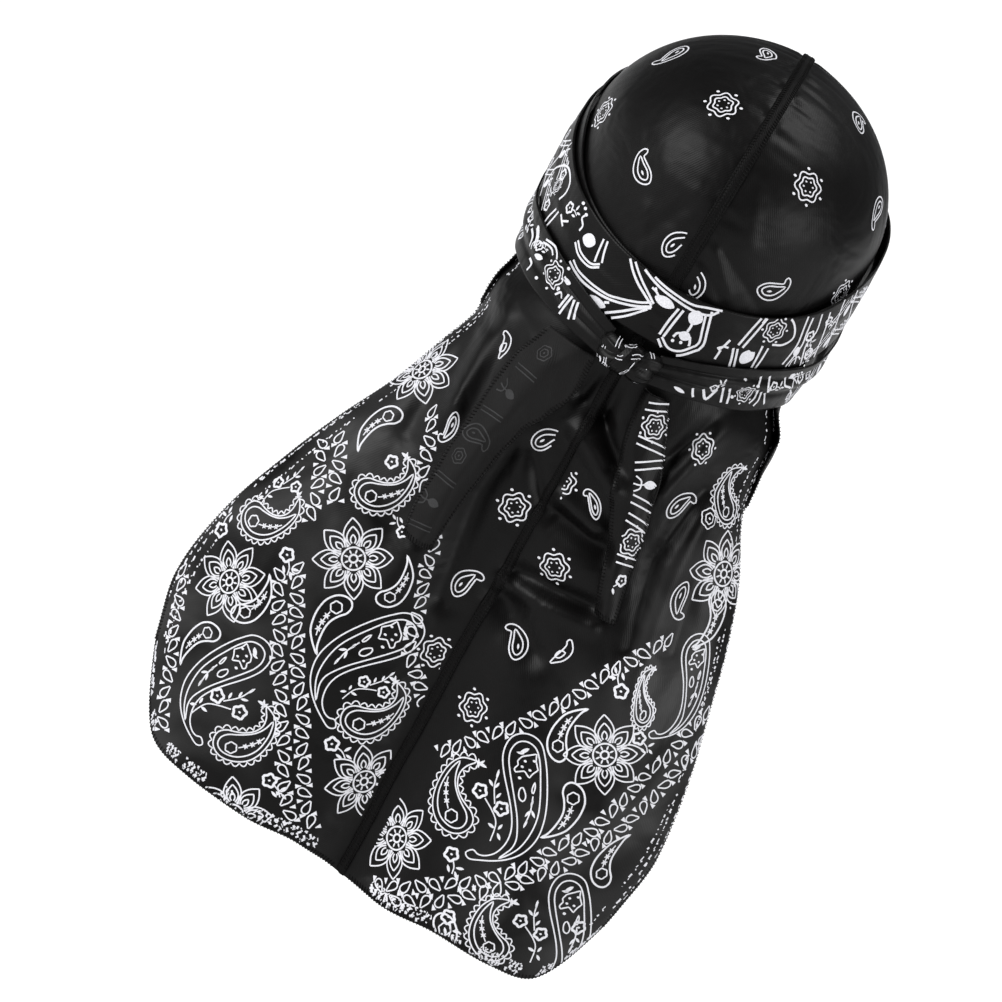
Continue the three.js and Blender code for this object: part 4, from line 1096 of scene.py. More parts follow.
class Ink:
    """Collects printed lines on one sheet, then makes them one mesh."""

    def __init__(self, sheet, printable):
        self.sheet, self.printable = sheet, printable.astype(float)[..., None]
        self.starts, self.ways, self.widths, self.spans = [], [], [], []

    def frames(self, uv, right_hint):
        """Directions on the cloth at grid places: right = hint made flat, below = right x outward."""
        out = unit(self.sheet.sample(self.sheet.outward, uv))
        right = unit(right_hint - out * (out * right_hint).sum(1)[:, None])
        return right, np.cross(right, out)

    def add(self, uv, right, below, strokes, size=1.0, turn=0.0, mirror=False):
        """Adds one motif at one grid place."""
        start, way = place_strokes(uv[None], right[None], below[None], strokes, size, turn, mirror)
        self.starts.append(start)
        self.ways.append(way)
        # A motif that is drawn small has finer lines
        weight = bpy.context.scene.bandana_cap.print_weight * min(np.max(size) + 0.05, 1.0)
        for points, widths, closed in strokes:
            self.widths.append(widths * weight)
            self.spans.append((len(points), closed))

    def add_motifs(self, uv, hint, entries):
        """Adds a motif at each grid place, its right side towards the hint. Entries are kind, turn,
        size and, where it is given, mirrored."""
        right, below = self.frames(uv, hint)
        for k, (kind, turn, size, *mirror) in enumerate(entries):
            self.add(uv[k], right[k], below[k], MOTIFS[kind](), size, turn, *mirror)

    def add_lines(self, uv_lines, width):
        """Adds lines that are already grid places."""
        for uv, closed in uv_lines:
            self.starts.append(uv)
            self.ways.append(np.zeros((len(uv), 3)) + 1e-9)
            self.widths.append(np.full(len(uv), width) if np.isscalar(width) else width)
            self.spans.append((len(uv), closed))

    def arrays(self):
        """All points walked onto the cloth: places, outward directions, index of the following point,
        whether a ribbon leads on to it, and widths. A ribbon stops where there is no print."""
        start, way = np.concatenate(self.starts), np.concatenate(self.ways)
        uv = self.sheet.walk(start, way)
        rows, columns = self.printable.shape[:2]
        inside = ((uv[:, 0] > 0.3) & (uv[:, 0] < rows - 1.3) & (uv[:, 1] > 0.1)
                  & (uv[:, 1] < columns - 1.1))
        inside &= self.sheet.sample(self.printable, uv)[:, 0] > 0.55
        count = len(uv)
        following = np.arange(1, count + 1)
        base = 0
        for length, closed in self.spans:
            following[base + length - 1] = base if closed else -1
            base += length
        leads = (following >= 0) & inside
        leads &= inside[np.maximum(following, 0)]
        points = self.sheet.sample(self.sheet.points, uv)
        gap = np.linalg.norm(points[np.maximum(following, 0)] - points, axis=1)
        leads &= gap < INK_STEP
        outward = unit(self.sheet.sample(self.sheet.outward, uv))
        return points, outward, following, leads, np.concatenate(self.widths)

    def make(self, name, material, sink=INK_SINK, height=INK_HEIGHT):
        """Each line becomes a low closed ribbon: corners P +- w/2 side, from sink under the cloth's
        face to height over it, with side = direction x outward."""
        points, outward, following, leads, widths = self.arrays()
        a = np.flatnonzero(leads)
        b = following[a]
        used = np.zeros(len(points), bool)
        used[a] = used[b] = True
        before = np.full(len(points), -1)
        before[b] = a
        after = np.full(len(points), -1)
        after[a] = b
        own = np.arange(len(points))
        lead = points[np.where(after >= 0, after, own)] - points[np.where(before >= 0, before, own)]
        side = unit(np.cross(unit(lead), outward)) * (widths / 2)[:, None]
        corners = np.stack([points - side + outward * height, points + side + outward * height,
                            points + side - outward * sink, points - side - outward * sink], 1)
        number = np.cumsum(used) - 1
        corners = corners[used].reshape(-1, 3)
        at = number[:, None] * 4 + np.arange(4)
        p, q = at[a], at[b]
        faces = [np.stack(f, 1) for f in (
            (p[:, 0], p[:, 1], q[:, 1], q[:, 0]), (p[:, 3], q[:, 3], q[:, 2], p[:, 2]),
            (p[:, 1], p[:, 2], q[:, 2], q[:, 1]), (p[:, 0], q[:, 0], q[:, 3], p[:, 3]))]
        first = at[used & (before < 0)]
        last = at[used & (after < 0)]
        faces += [first[:, [0, 3, 2, 1]], last[:, [0, 1, 2, 3]]]
        return new_object(name, corners, np.concatenate(faces), [material], False)


def add_chart_lines(ink, table, allowed):
    """Prints lines, filled blobs, dots and motifs that are charted as they are seen from behind."""
    lines, blobs, dots, motifs = table
    strokes = [stroke(points, width, bool(closed), True, 1.5) for points, width, closed in lines]
    for e, d, wide, high in blobs:
        line, widths, _ = blob(e, d, wide, high * CHART_SCALE, 0)
        strokes.append((line, widths, False))
    strokes += [(line, width * CHART_SCALE, False) for line, width, _ in
                (dot(e, d, DOT_RADIUS) for e, d in dots)]
    for line, widths, closed in strokes:
        uv = ink.sheet.find(line, allowed)
        miss = np.linalg.norm(ink.sheet.sample(ink.sheet.chart, uv) - line, axis=1) > CHART_MISS
        uv[miss] = OFF_CLOTH
        ink.add_lines([(uv, closed)], widths)
    uv = ink.sheet.find(np.array([place[1:3] for place in motifs], float), allowed)
    ink.add_motifs(uv, CHART_RIGHT, [(kind, turn, size) for kind, _, _, turn, size in motifs])


def add_row(ink, rows, column, kinds, pitch):
    """Prints motifs in turn along a sheet, a pitch apart, between two rows given from 0 to 1."""
    count = ink.sheet.points.shape[0] - 1
    line = ink.sheet.points[:, int(column)]
    length = walked(line)
    low, high = np.interp(np.array(rows) * count, np.arange(count + 1), length)
    at = np.arange(low + pitch / 2, high, pitch)
    where = np.stack([np.interp(at, length, np.arange(count + 1)), np.full(len(at), column)], 1)
    ink.add_motifs(where, unit(ink.sheet.sample(ink.sheet.down, where)),
                   [kinds[k % len(kinds)] for k in range(len(at))])


def border_leaf():
    """One leaf of a border, its tip to the right: a closed drop line."""
    return stroke([(-3.8, 0), (-2.8, -1.75), (-0.6, -2.05), (2.0, -1.1), (4.0, 0), (2.0, 1.1), (-0.6, 2.05),
                   (-2.8, 1.75)], LINE, True, True, 0.9)


def unprinted(name, z):
    """Half width of the strip beside the seam that has no print, from the panel's table."""
    gap = np.zeros_like(z)
    for low, high, width in SEAM_GAPS[name]:
        gap = np.where((z > low) & (z < high), width, gap)
    return gap


def route_share(low, high):
    """Two angles of the tie's route as shares of its rows, 0 at the temple and 1 at the knot."""
    start, end = TIE_ROUTE[0, 0], TIE_ROUTE[-1, 0]
    return (low - start) / (end - start), (high - start) / (end - start)


def add_border(ink, chart_line, lean, allowed):
    """Leaves every 8 mm along a line, four by four: back-out, on-in, back-in, on-out, with a triangle
    in each gap of their zigzag."""
    line = smooth_line(chart_line, False, 2.0)
    uv = ink.sheet.find(line, allowed)
    points = ink.sheet.sample(ink.sheet.points, uv)
    length = walked(points)
    count = int(length[-1] / BORDER_PITCH)
    at = (np.arange(count) + 0.5) * BORDER_PITCH
    where = at_lengths(uv, length, at)
    ahead = at_lengths(points, length, at + 2) - at_lengths(points, length, at - 2)
    right, below = ink.frames(where, unit(ahead))
    leaf = border_leaf()
    for k in range(count):
        angle = (140, -35, -125, 55)[k % 4] * lean
        ink.add(where[k], right[k], below[k], [leaf], 1.0, angle)
        gaps = [wedge(BORDER_PITCH / 2, way * BORDER_ASIDE * lean, BORDER_WEDGE, way * 90 * lean)
                for way, without in ((-1, 3), (1, 1)) if k % 4 != without]
        ink.add(where[k], right[k], below[k], gaps, 1.0)


# Materials

def linear(colour):
    """sRGB hex colour as linear RGBA."""
    parts = [int(colour[k:k + 2], 16) / 255 for k in (1, 3, 5)]
    return tuple(c / 12.92 if c <= 0.04045 else ((c + 0.055) / 1.055) ** 2.4 for c in parts) + (1.0,)


def add_node(tree, kind, settings=None, links=None, **attributes):
    """Adds a node with attributes, socket values and links from other nodes' outputs."""
    node = tree.nodes.new(kind)
    for key, value in attributes.items():
        setattr(node, key, value)
    for key, value in (settings or {}).items():
        node.inputs[key].default_value = value
    for key, output in (links or {}).items():
        tree.links.new(output, node.inputs[key])
    return node


def new_material(name):
    """An empty node material and its tree."""
    material = bpy.data.materials.new(name)
    material.use_nodes = True
    material.node_tree.nodes.clear()
    return material, material.node_tree


def finish_material(tree, shader):
    """Links the shader to the output."""
    add_node(tree, "ShaderNodeOutputMaterial", links={"Surface": shader.outputs[0]})


# Patterns by how many lie in a metre. Mottle is 26 mm across, patches of painted light are 53 mm, creases
# 48 mm, slubs 1.1 mm, ink's speckle 0.7 mm and thread's fluff 1.4 mm.
MOTTLE, PATCHES, CREASES, SLUBS, SPECKLE, FLUFF = 38.0, 19.0, 21.0, 900.0, 1400.0, 700.0
# A wave texture of scale s repeats every 2 pi / (20 s) metres
TWILL, TWIST = (2 * math.pi / 20 / pitch for pitch in (0.0011, 0.0008))


def satin_material(name, dark, light, painted_light_tone, roughness, weave, specular, sheen):
    """Polyester satin, woven with long floats: the face is smooth and shows a soft band of light,
    the wrong side is duller. Threads lie 0.35 mm apart; the weave's waves are drawn 1.1 mm apart,
    because finer ones wouldn't show. Where the tail hangs single at its sides, the light that comes through
    is painted: a lighter tone in patches lifts the black."""
    material, tree = new_material(name)
    uv = add_node(tree, "ShaderNodeUVMap", uv_map="cloth").outputs["UV"]
    place = add_node(tree, "ShaderNodeTexCoord").outputs["Object"]
    mottle = add_node(tree, "ShaderNodeTexNoise", {"Scale": MOTTLE, "Detail": 4.0, "Roughness": 0.6},
                      {"Vector": place})
    tone = add_node(tree, "ShaderNodeMix", {6: dark, 7: light}, {0: mottle.outputs["Fac"]},
                    data_type="RGBA")
    # Painted light: a lighter tone in patches low on the tail's sides, standing for light that comes
    # through the single cloth
    x, _, z = add_node(tree, "ShaderNodeSeparateXYZ", links={"Vector": place}).outputs
    aside = add_node(tree, "ShaderNodeMath", links={0: x}, operation="ABSOLUTE")
    side = add_node(tree, "ShaderNodeMapRange", {"From Min": 0.045, "From Max": 0.1},
                    {"Value": aside.outputs[0]})
    lower = add_node(tree, "ShaderNodeMapRange", {"From Min": -0.17, "From Max": -0.23}, {"Value": z})
    patches = add_node(tree, "ShaderNodeTexNoise", {"Scale": PATCHES, "Detail": 2.0, "Distortion": 0.8},
                       {"Vector": place})
    patch = add_node(tree, "ShaderNodeMapRange", {"From Min": 0.4, "From Max": 0.64},
                     {"Value": patches.outputs["Fac"]})
    tail = add_node(tree, "ShaderNodeMath", links={0: side.outputs[0], 1: lower.outputs[0]},
                    operation="MULTIPLY")
    painted_light_share = add_node(tree, "ShaderNodeMath", links={0: tail.outputs[0], 1: patch.outputs[0]},
                    operation="MULTIPLY")
    tone = add_node(tree, "ShaderNodeMix", {7: painted_light_tone},
                    {0: painted_light_share.outputs[0], 6: tone.outputs[2]}, data_type="RGBA")
    turned = add_node(tree, "ShaderNodeMapping", {"Rotation": (0, 0, math.radians(38))}, {"Vector": uv})
    twill = add_node(tree, "ShaderNodeTexWave", {"Scale": TWILL, "Distortion": 2.0, "Detail": 2.0,
                                                  "Detail Scale": 3.0},
                     {"Vector": turned.outputs[0]})
    slubs = add_node(tree, "ShaderNodeTexNoise", {"Scale": SLUBS, "Detail": 3.0}, {"Vector": uv})
    creases = add_node(tree, "ShaderNodeTexNoise", {"Scale": CREASES, "Detail": 3.0, "Roughness": 0.5,
                                                    "Distortion": 0.6}, {"Vector": place})
    low = add_node(tree, "ShaderNodeBump", {"Strength": 0.6, "Distance": 0.005},
                   {"Height": creases.outputs["Fac"]})
    mid = add_node(tree, "ShaderNodeBump", {"Strength": weave, "Distance": 0.0002},
                   {"Height": twill.outputs["Fac"], "Normal": low.outputs[0]})
    fine = add_node(tree, "ShaderNodeBump", {"Strength": weave, "Distance": 0.00015},
                    {"Height": slubs.outputs["Fac"], "Normal": mid.outputs[0]})
    rough = add_node(tree, "ShaderNodeMapRange", {"To Min": roughness - 0.05, "To Max": roughness + 0.08},
                     {"Value": mottle.outputs["Fac"]})
    shader = add_node(tree, "ShaderNodeBsdfPrincipled",
                      {"Specular IOR Level": specular, "Sheen Weight": sheen, "Sheen Roughness": 0.45},
                      {"Base Color": tone.outputs[2], "Roughness": rough.outputs[0],
                       "Normal": fine.outputs[0]})
    finish_material(tree, shader)
    return material


def ink_material(name, colour, worn):
    """White pigment print, screened on: it lies matt on the satin and lets a little of the weave
    through, so its tone is slightly uneven."""
    material, tree = new_material(name)
    place = add_node(tree, "ShaderNodeTexCoord").outputs["Object"]
    speckle = add_node(tree, "ShaderNodeTexNoise", {"Scale": SPECKLE, "Detail": 2.0}, {"Vector": place})
    ramp = add_node(tree, "ShaderNodeMapRange", {"From Min": 0.3, "From Max": 0.7},
                    {"Value": speckle.outputs["Fac"]})
    tone = add_node(tree, "ShaderNodeMix", {6: worn, 7: colour}, {0: ramp.outputs[0]}, data_type="RGBA")
    shader = add_node(tree, "ShaderNodeBsdfPrincipled", {"Roughness": 0.6, "Specular IOR Level": 0.3},
                      {"Base Color": tone.outputs[2]})
    finish_material(tree, shader)
    return material


def thread_material(name, dark, light):
    """Spun polyester sewing thread: two plies twisted 0.8 mm a turn give small dull glints."""
    material, tree = new_material(name)
    uv = add_node(tree, "ShaderNodeUVMap", uv_map="cloth").outputs["UV"]
    place = add_node(tree, "ShaderNodeTexCoord").outputs["Object"]
    turned = add_node(tree, "ShaderNodeMapping", {"Scale": (0.0008, 1.0, 1.0),
                                                  "Rotation": (0, 0, math.radians(45))}, {"Vector": uv})
    twist = add_node(tree, "ShaderNodeTexWave", {"Scale": TWIST},
                     {"Vector": turned.outputs[0]})
    fluff = add_node(tree, "ShaderNodeTexNoise", {"Scale": FLUFF, "Detail": 3.0}, {"Vector": place})
    tone = add_node(tree, "ShaderNodeMix", {6: dark, 7: light}, {0: fluff.outputs["Fac"]},
                    data_type="RGBA")
    bump = add_node(tree, "ShaderNodeBump", {"Strength": 0.5, "Distance": 0.0001},
                    {"Height": twist.outputs["Fac"]})
    shader = add_node(tree, "ShaderNodeBsdfPrincipled", {"Roughness": 0.65, "Specular IOR Level": 0.12},
                      {"Base Color": tone.outputs[2], "Normal": bump.outputs[0]})
    finish_material(tree, shader)
    return material


def shade(colour, share, grey=0.0):
    """Linear RGBA whose channels are share * channel + grey."""
    return tuple(share * channel + grey for channel in colour[:3]) + (1.0,)


# Finishes in the settings' colours: name, dark and light tone, then for satin the painted tone that stands
# for light coming through, roughness, weave, specular and sheen
MADE = {}
FINISHES = {
    # The satin face's third tone is painted light, for the lighter patches on the tail's sides
    "satin": lambda cloth, ink: satin_material(
        "satin_face", shade(cloth, 0.27), shade(cloth, 1), shade(cloth, 1, 0.023), 0.42, 0.16, 0.13, 0.0),
    "seam": lambda cloth, ink: satin_material(
        "satin_in_the_seam", shade(cloth, 0.4), shade(cloth, 0.9), shade(cloth, 0.9), 0.55, 0.5, 0.09, 0.0),
    "wrong_side": lambda cloth, ink: satin_material(
        "satin_wrong_side", shade(cloth, 1, 0.001), shade(cloth, 1, 0.0045), shade(cloth, 1, 0.0045),
        0.6, 0.3, 0.12, 0.05),
    "ink": lambda cloth, ink: ink_material("screen_printed_ink", shade(ink, 1), shade(ink, 0.79)),
    "faint_ink": lambda cloth, ink: ink_material("print_showing_through", shade(ink, 0.03),
                                                 shade(ink, 0.016)),
    "thread": lambda cloth, ink: thread_material("spun_polyester_thread", shade(cloth, 0.5),
                                                 shade(cloth, 0.9, 0.0015)),
}


def material(key):
    """Each finish is made once, in the settings' colours."""
    if key not in MADE:
        settings = bpy.context.scene.bandana_cap
        MADE[key] = FINISHES[key](settings.satin_colour, settings.print_colour)
    return MADE[key]


def finished(thing, nodes=()):
    """Hangs a piece on the one body and hides the part's nodes that it stands for."""
    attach(thing, "root")
    if nodes:
        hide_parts(*nodes)


# Settings, operators and panel

# What the operators have made: each sheet's object, surfaces and serging, and the knot's rolls
SHEETS, ROLLS = {}, []


class BandanaCapSettings(bpy.types.PropertyGroup):
    """Sizes and colours that a user would change."""
    satin_colour: bpy.props.FloatVectorProperty(
        name="Satin", description="Colour of the satin's threads", subtype="COLOR", size=3, min=0.0,
        max=1.0, default=linear("#080707")[:3])
    print_colour: bpy.props.FloatVectorProperty(
        name="Print", description="Colour of the printed pattern", subtype="COLOR", size=3, min=0.0,
        max=1.0, default=linear("#dcdce1")[:3])
    print_weight: bpy.props.FloatProperty(
        name="Print lines", description="Width of the printed lines, as a share of the charted one",
        subtype="FACTOR", default=0.72, min=0.3, max=1.2)
    cloth: bpy.props.FloatProperty(name="Cloth", description="Thickness of the satin", unit="LENGTH",
                                   default=0.0007, min=0.0003, max=0.0012)
    stitch: bpy.props.FloatProperty(name="Serging", description="Length of one edge stitch",
                                    unit="LENGTH", default=0.0019, min=0.001, max=0.004)
    camera_distance: bpy.props.FloatProperty(name="Camera", description="Distance of the camera",
                                             unit="LENGTH", default=8.0, min=2.0, max=20.0)
    camera_roll: bpy.props.FloatProperty(name="Roll", description="Tilt of the picture",
                                         subtype="ANGLE", default=math.radians(31))


class BANDANACAP_OT_panels(bpy.types.Operator):
    """Makes the two halves of crown and tail, with the serging of their edges"""
    bl_idname = "bandanacap.panels"
    bl_label = "Panels"

    def execute(self, context):
        """Cloth of each half: its grid moved out by the relief, then closed between two offsets."""
        settings = context.scene.bandana_cap
        outer_at = CLOTH_INNER + settings.cloth / MM
        for side, name in ((-1, "left_panel"), (1, "right_panel")):
            grid = panel_grid(side)
            outward = outward_of(grid, side)
            grid = grid + outward * crown_relief(grid, side)[..., None]
            outward = outward_of(grid, side)
            inner, outer = grid + outward * CLOTH_INNER, grid + outward * outer_at
            thing = closed_sheet(f"{name}_cloth", inner, outer, side,
                                 [material("satin"), material("wrong_side")])
            finished(thing, [name])
            pitch, low = settings.stitch / MM, SERGING_FROM
            paths = np.concatenate([
                serging_paths(outer[low:, -1], inner[low:, -1], outer[low:, -3], pitch),
                serging_paths(outer[-1, 2:], inner[-1, 2:], outer[-3, 2:], pitch),
                serging_paths(outer[0, 2:], inner[0, 2:], outer[2, 2:], pitch)])
            serging = rolled(f"{name}_serging", thread_grids(paths, THREAD_RADIUS), material("thread"))
            finished(serging)
            SHEETS[name] = [thing, Sheet(outer, outward), Sheet(inner, -outward), serging]
        return {"FINISHED"}


class BANDANACAP_OT_seam(bpy.types.Operator):
    """Makes the sewn ridge over the join of the panels, with its two rows of stitches"""
    bl_idname = "bandanacap.seam"
    bl_label = "Centre seam"

    def execute(self, context):
        """The ridge, then short threads across both grooves that rise by a half sine."""
        stitch = context.scene.bandana_cap.stitch / MM
        inner, outer = seam_grids(stitch)
        thing = closed_sheet("seam_ridge", inner, outer, 1, [material("seam"), material("seam")])
        finished(thing, ["centre_seam"])
        sheet = Sheet(outer, outward_of(outer, 1))
        middle = outer[:, SEAM_COLUMNS // 2]
        length = walked(middle)
        row = np.interp(np.arange(2, length[-1] - 2, stitch), length, np.arange(len(length)))
        paths = []
        for sign in (-1, 1):
            t = np.linspace(0, 1, 5)
            column = (1 + sign * (0.3 + 0.62 * t)) * SEAM_COLUMNS / 2
            uv = np.stack(np.broadcast_arrays(row[:, None] + 0.35 * t, column), -1).reshape(-1, 2)
            lift = np.tile(0.06 + 0.2 * np.sin(math.pi * t), len(row))[:, None]
            points = sheet.sample(sheet.points, uv) + sheet.sample(sheet.outward, uv) * lift
            paths.append(points.reshape(len(row), 5, 3))
        threads = rolled("seam_stitches", thread_grids(np.concatenate(paths), THREAD_RADIUS),
                         material("thread"))
        finished(threads)
        return {"FINISHED"}


class BANDANACAP_OT_ties(bpy.types.Operator):
    """Makes the two ties, their hanging ends with serged edges, and the knot"""
    bl_idname = "bandanacap.ties"
    bl_label = "Ties and knot"

    def execute(self, context):
        """Ties and ends are closed between their grid and an offset of it. The knot is three rolls."""
        for side, name in ((-1, "left_tie"), (1, "right_tie")):
            grid = tie_grid(side, name)
            outward = outward_of(grid, side)
            outer = grid + outward * TIE_CLOTH
            thing = closed_sheet(f"{name}_cloth", grid, outer, side, [material("satin")] * 2)
            finished(thing, [name])
            SHEETS[name] = [thing, Sheet(outer, outward)]
        pitch = context.scene.bandana_cap.stitch / MM
        for name in TIE_ENDS:
            grid = end_grid(name)
            outward = outward_of(grid, 1)
            outer = grid + outward * TIE_CLOTH
            faces = [material("wrong_side"), material("satin")]
            if name == "right_tie_end":
                faces = faces[::-1]
            thing = closed_sheet(f"{name}_cloth", grid, outer, 1, faces)
            finished(thing, [name])
            paths = np.concatenate([
                serging_paths(outer[2:, 0], grid[2:, 0], outer[2:, 2], pitch),
                serging_paths(outer[2:, -1], grid[2:, -1], outer[2:, -3], pitch),
                serging_paths(outer[-1], grid[-1], outer[-3], pitch)])
            serging = rolled(f"{name}_serging", thread_grids(paths, THREAD_RADIUS), material("thread"))
            finished(serging)
            SHEETS[name] = [thing, Sheet(outer, outward), serging]
        for k, (points, deep, high, helper) in enumerate(KNOT_ROLLS):
            grid = roll_grid(points, deep, high, helper, 1.3 * k)
            thing = rolled(f"knot_roll_{k + 1}", grid[None], material("satin"))
            finished(thing, ["tie_knot"] if k == 0 else ())
            ROLLS.append(Sheet(grid, unit(grid - grid[:, :-1].mean(1, keepdims=True))))
        return {"FINISHED"}


class BANDANACAP_OT_print(bpy.types.Operator):
    """Prints the motifs and borders on the cloth"""
    bl_idname = "bandanacap.print"
    bl_label = "Print"

    def execute(self, context):
        """Motifs are placed on each sheet in turn, and each sheet's print becomes one mesh."""
        for name in ("left_panel", "right_panel"):
            _, sheet, back, _ = SHEETS[name]
            rows, columns = sheet.points.shape[:2]
            seam_x = curve(TAIL_SECTIONS, 5, np.maximum(sheet.points[..., 2], TAIL_SECTIONS[-1, 0]))
            printable = np.abs(sheet.points[..., 0] - seam_x) > unprinted(name, sheet.points[..., 2])
            printable[:, PANEL_COLUMNS + 2:] = False
            facing = (sheet.points[..., 1] < 10) & printable
            ink = Ink(sheet, printable)
            table = PANEL_PRINT[name]
            uv = sheet.find(np.array([(e, d) for _, e, d, *_ in table], float), facing)
            ink.add_motifs(uv, CHART_RIGHT, [(kind, *how) for kind, _, _, *how in table])
            where = np.array([(u * CROWN_ROWS, v * PANEL_COLUMNS) for _, u, v, _ in FRONT_PRINT])
            ink.add_motifs(where, CHART_RIGHT, [(kind, turn, 1.0) for kind, _, _, turn in FRONT_PRINT])
            for line, lean in PANEL_BORDERS[name]:
                add_border(ink, line, lean, facing)
            self.edge_specks(ink, name)
            finished(ink.make(f"{name}_print", material("ink")))

            # The print shows through faintly on the side edge that lies folded back
            faint = Ink(back, np.ones((rows, columns)))
            for reach, inward, kinds, pitch in PANEL_FAINT_ROWS:
                add_row(faint, reach, columns - inward, kinds, pitch)
            finished(faint.make(f"{name}_faint_print", material("faint_ink")))

        for name, (first, second, side_spans, middle_spans) in TIE_PASSES.items():
            sheet = SHEETS[name][1]
            rows, columns = sheet.points.shape[:2]
            ink = Ink(sheet, np.ones((rows, columns)))
            route = np.linspace(TIE_ROUTE[0, 0], TIE_ROUTE[-1, 0], rows)[:, None]
            seen = (sheet.points[..., 1] < -5) & (sheet.outward[..., 1] < -0.1)
            if first:
                add_chart_lines(ink, TIE_PRINT[first], seen & (route < FIRST_PASS_TO))
            add_chart_lines(ink, TIE_PRINT[second], seen & (route > SECOND_PASS_FROM))
            for span in side_spans:
                for across in SIDE_PLACES:
                    add_row(ink, route_share(*span), columns * across, SIDE_ROW, SIDE_PITCH)
            for span in middle_spans:
                add_row(ink, route_share(*span), columns * 0.5, TIE_ROW, MIDDLE_PITCH)
            finished(ink.make(f"{name}_print", material("ink")))
        for name, (kind, bare, column, reach, kinds, pitch) in END_PRINT.items():
            ink = Ink(SHEETS[name][1], np.ones((END_ROWS, END_COLUMNS)))
            ink.printable[:, :bare] = 0
            add_row(ink, reach, column, kinds, pitch)
            finished(ink.make(f"{name}_print", material(kind)))
        for k, sheet in enumerate(ROLLS):
            ink = Ink(sheet, np.ones(sheet.points.shape[:2]))
            for low, column in KNOT_PRINT:
                add_row(ink, (low, low + KNOT_LENGTH), column, KNOT_ROW, KNOT_PITCH)
            finished(ink.make(f"knot_print_{k + 1}", material("ink")))
        return {"FINISHED"}

    def edge_specks(self, ink, name):
        """Specks of print where the side and bottom edges roll over: short strokes whose places,
        lengths and slants follow sines of their number."""
        k = np.arange(SPECKS)
        u = CROWN_ROWS + SPECK_TOP + k * (TAIL_ROWS - SPECK_CLEAR) / SPECKS
        v = PANEL_COLUMNS - SPECK_IN + SPECK_SWING * np.sin(2.1 * k + len(name))
        keep = np.sin(k * 0.19) + np.sin(k * 0.061 + len(name)) > -0.9
        low_u = CROWN_ROWS + TAIL_ROWS - SPECK_UP + 1.5 * np.sin(2.3 * k)
        low_v = SPECK_SEAM + k * (PANEL_COLUMNS - SPECK_SEAM) / SPECKS
        low_keep = np.sin(k * 0.13) + np.sin(k * 0.047) > -0.1
        u, v = np.concatenate([u[keep], low_u[low_keep]]), np.concatenate([v[keep], low_v[low_keep]])
        for k, (row, column) in enumerate(zip(u, v)):
            length, slant = 0.6 + 0.5 * math.sin(3.7 * k), 0.7 * math.sin(5.3 * k)
            line = np.stack([row + np.linspace(0, length, 3), column + np.linspace(0, slant, 3)], 1)
            ink.add_lines([(line, False)], 0.8 + 0.35 * math.sin(1.3 * k))


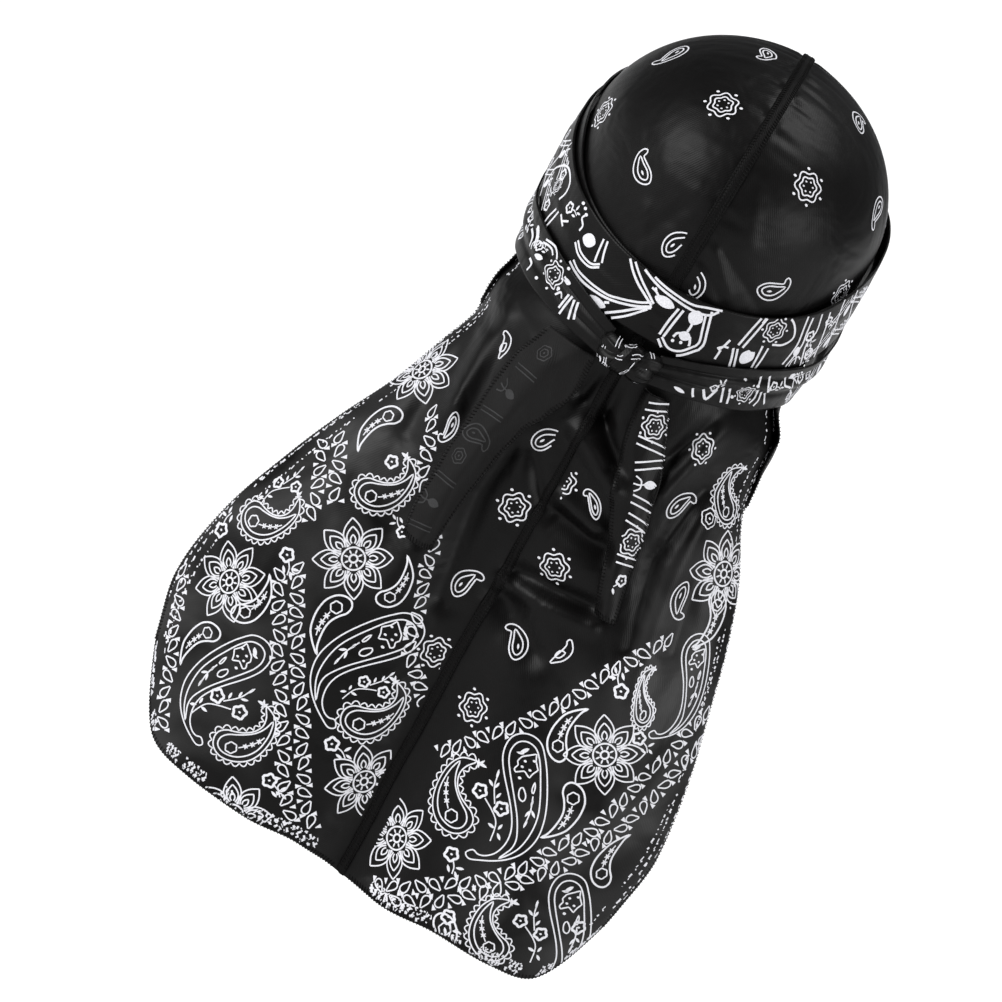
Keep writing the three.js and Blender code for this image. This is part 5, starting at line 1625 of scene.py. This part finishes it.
class BANDANACAP_OT_stage(bpy.types.Operator):
    """Makes the floor, the lights and the camera"""
    bl_idname = "bandanacap.stage"
    bl_label = "Stage"

    def execute(self, context):
        """The camera stands back along the tilted view and is rolled. Three suns stand for softboxes."""
        settings = context.scene.bandana_cap
        tilt, roll = VIEW_TILT, settings.camera_roll
        ahead = Vector((0, math.cos(tilt), -math.sin(tilt)))
        right0, up0 = Vector((1, 0, 0)), Vector((0, math.sin(tilt), math.cos(tilt)))
        right = right0 * math.cos(roll) + up0 * math.sin(roll)
        up = up0 * math.cos(roll) - right0 * math.sin(roll)
        data = bpy.data.cameras.new("camera")
        data.sensor_width = 36.0
        data.lens = 36.0 * settings.camera_distance / FRAME_WIDTH
        data.clip_start, data.clip_end = 0.1, 200.0
        camera = bpy.data.objects.new("camera", data)
        target = Vector(AIM) * MM
        turned = Matrix((right, up, -ahead)).transposed().to_4x4()
        camera.matrix_world = Matrix.Translation(target - ahead * settings.camera_distance) @ turned
        context.scene.collection.objects.link(camera)
        context.scene.camera = camera

        floor_material, tree = new_material("white_paper_backdrop")
        grain = add_node(tree, "ShaderNodeTexNoise", {"Scale": 3.0, "Detail": 2.0},
                         {"Vector": add_node(tree, "ShaderNodeTexCoord").outputs["Object"]})
        tone = add_node(tree, "ShaderNodeMix", {6: linear("#f4f4f4"), 7: linear("#fafafa")},
                        {0: grain.outputs["Fac"]}, data_type="RGBA")
        paper = add_node(tree, "ShaderNodeBsdfPrincipled", {"Roughness": 0.9, "Specular IOR Level": 0.1},
                         {"Base Color": tone.outputs[2]})
        finish_material(tree, paper)
        half, level = 60000.0, FLOOR_LEVEL
        corners = np.array([(-half, -half, level), (half, -half, level), (half, half, level),
                            (-half, half, level)])
        floor = new_object("floor", corners, np.array([[0, 1, 2, 3]]), [floor_material], False)

        world = bpy.data.worlds.new("studio")
        world.use_nodes = True
        world.node_tree.nodes["Background"].inputs["Color"].default_value = linear("#f2f4f6")
        world.node_tree.nodes["Background"].inputs["Strength"].default_value = WORLD_STRENGTH
        context.scene.world = world
        for name, strength, spread, direction in LIGHTS:
            lamp = bpy.data.lights.new(name, "SUN")
            lamp.energy, lamp.angle = strength, math.radians(spread)
            thing = bpy.data.objects.new(name, lamp)
            thing.rotation_mode = "QUATERNION"
            thing.rotation_quaternion = (-Vector(direction)).to_track_quat("-Z", "Y")
            context.scene.collection.objects.link(thing)
        context.scene.view_settings.view_transform = "Standard"
        return {"FINISHED"}


OPERATORS = [BANDANACAP_OT_stage, BANDANACAP_OT_panels, BANDANACAP_OT_seam, BANDANACAP_OT_ties,
             BANDANACAP_OT_print]


class BANDANACAP_PT_panel(bpy.types.Panel):
    """Lists the steps that make the wrap"""
    bl_label = "Bandana cap"
    bl_idname = "BANDANACAP_PT_panel"
    bl_space_type = "VIEW_3D"
    bl_region_type = "UI"
    bl_category = "Bandana cap"

    def draw(self, context):
        """Every setting, then a button for each step."""
        for key in BandanaCapSettings.__annotations__:
            self.layout.prop(context.scene.bandana_cap, key)
        for operator in OPERATORS:
            self.layout.operator(operator.bl_idname)


CLASSES = [BandanaCapSettings, *OPERATORS, BANDANACAP_PT_panel]


def register():
    """Adds the classes, and the settings to the scene."""
    for kind in CLASSES:
        bpy.utils.register_class(kind)
    bpy.types.Scene.bandana_cap = bpy.props.PointerProperty(type=BandanaCapSettings)


def unregister():
    """Takes the settings and the classes away again, last first."""
    del bpy.types.Scene.bandana_cap
    for kind in reversed(CLASSES):
        bpy.utils.unregister_class(kind)


def main():
    """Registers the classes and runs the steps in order."""
    register()
    for operator in OPERATORS:
        group, step = operator.bl_idname.split(".")
        getattr(getattr(bpy.ops, group), step)()


if __name__ == "__main__":
    main()
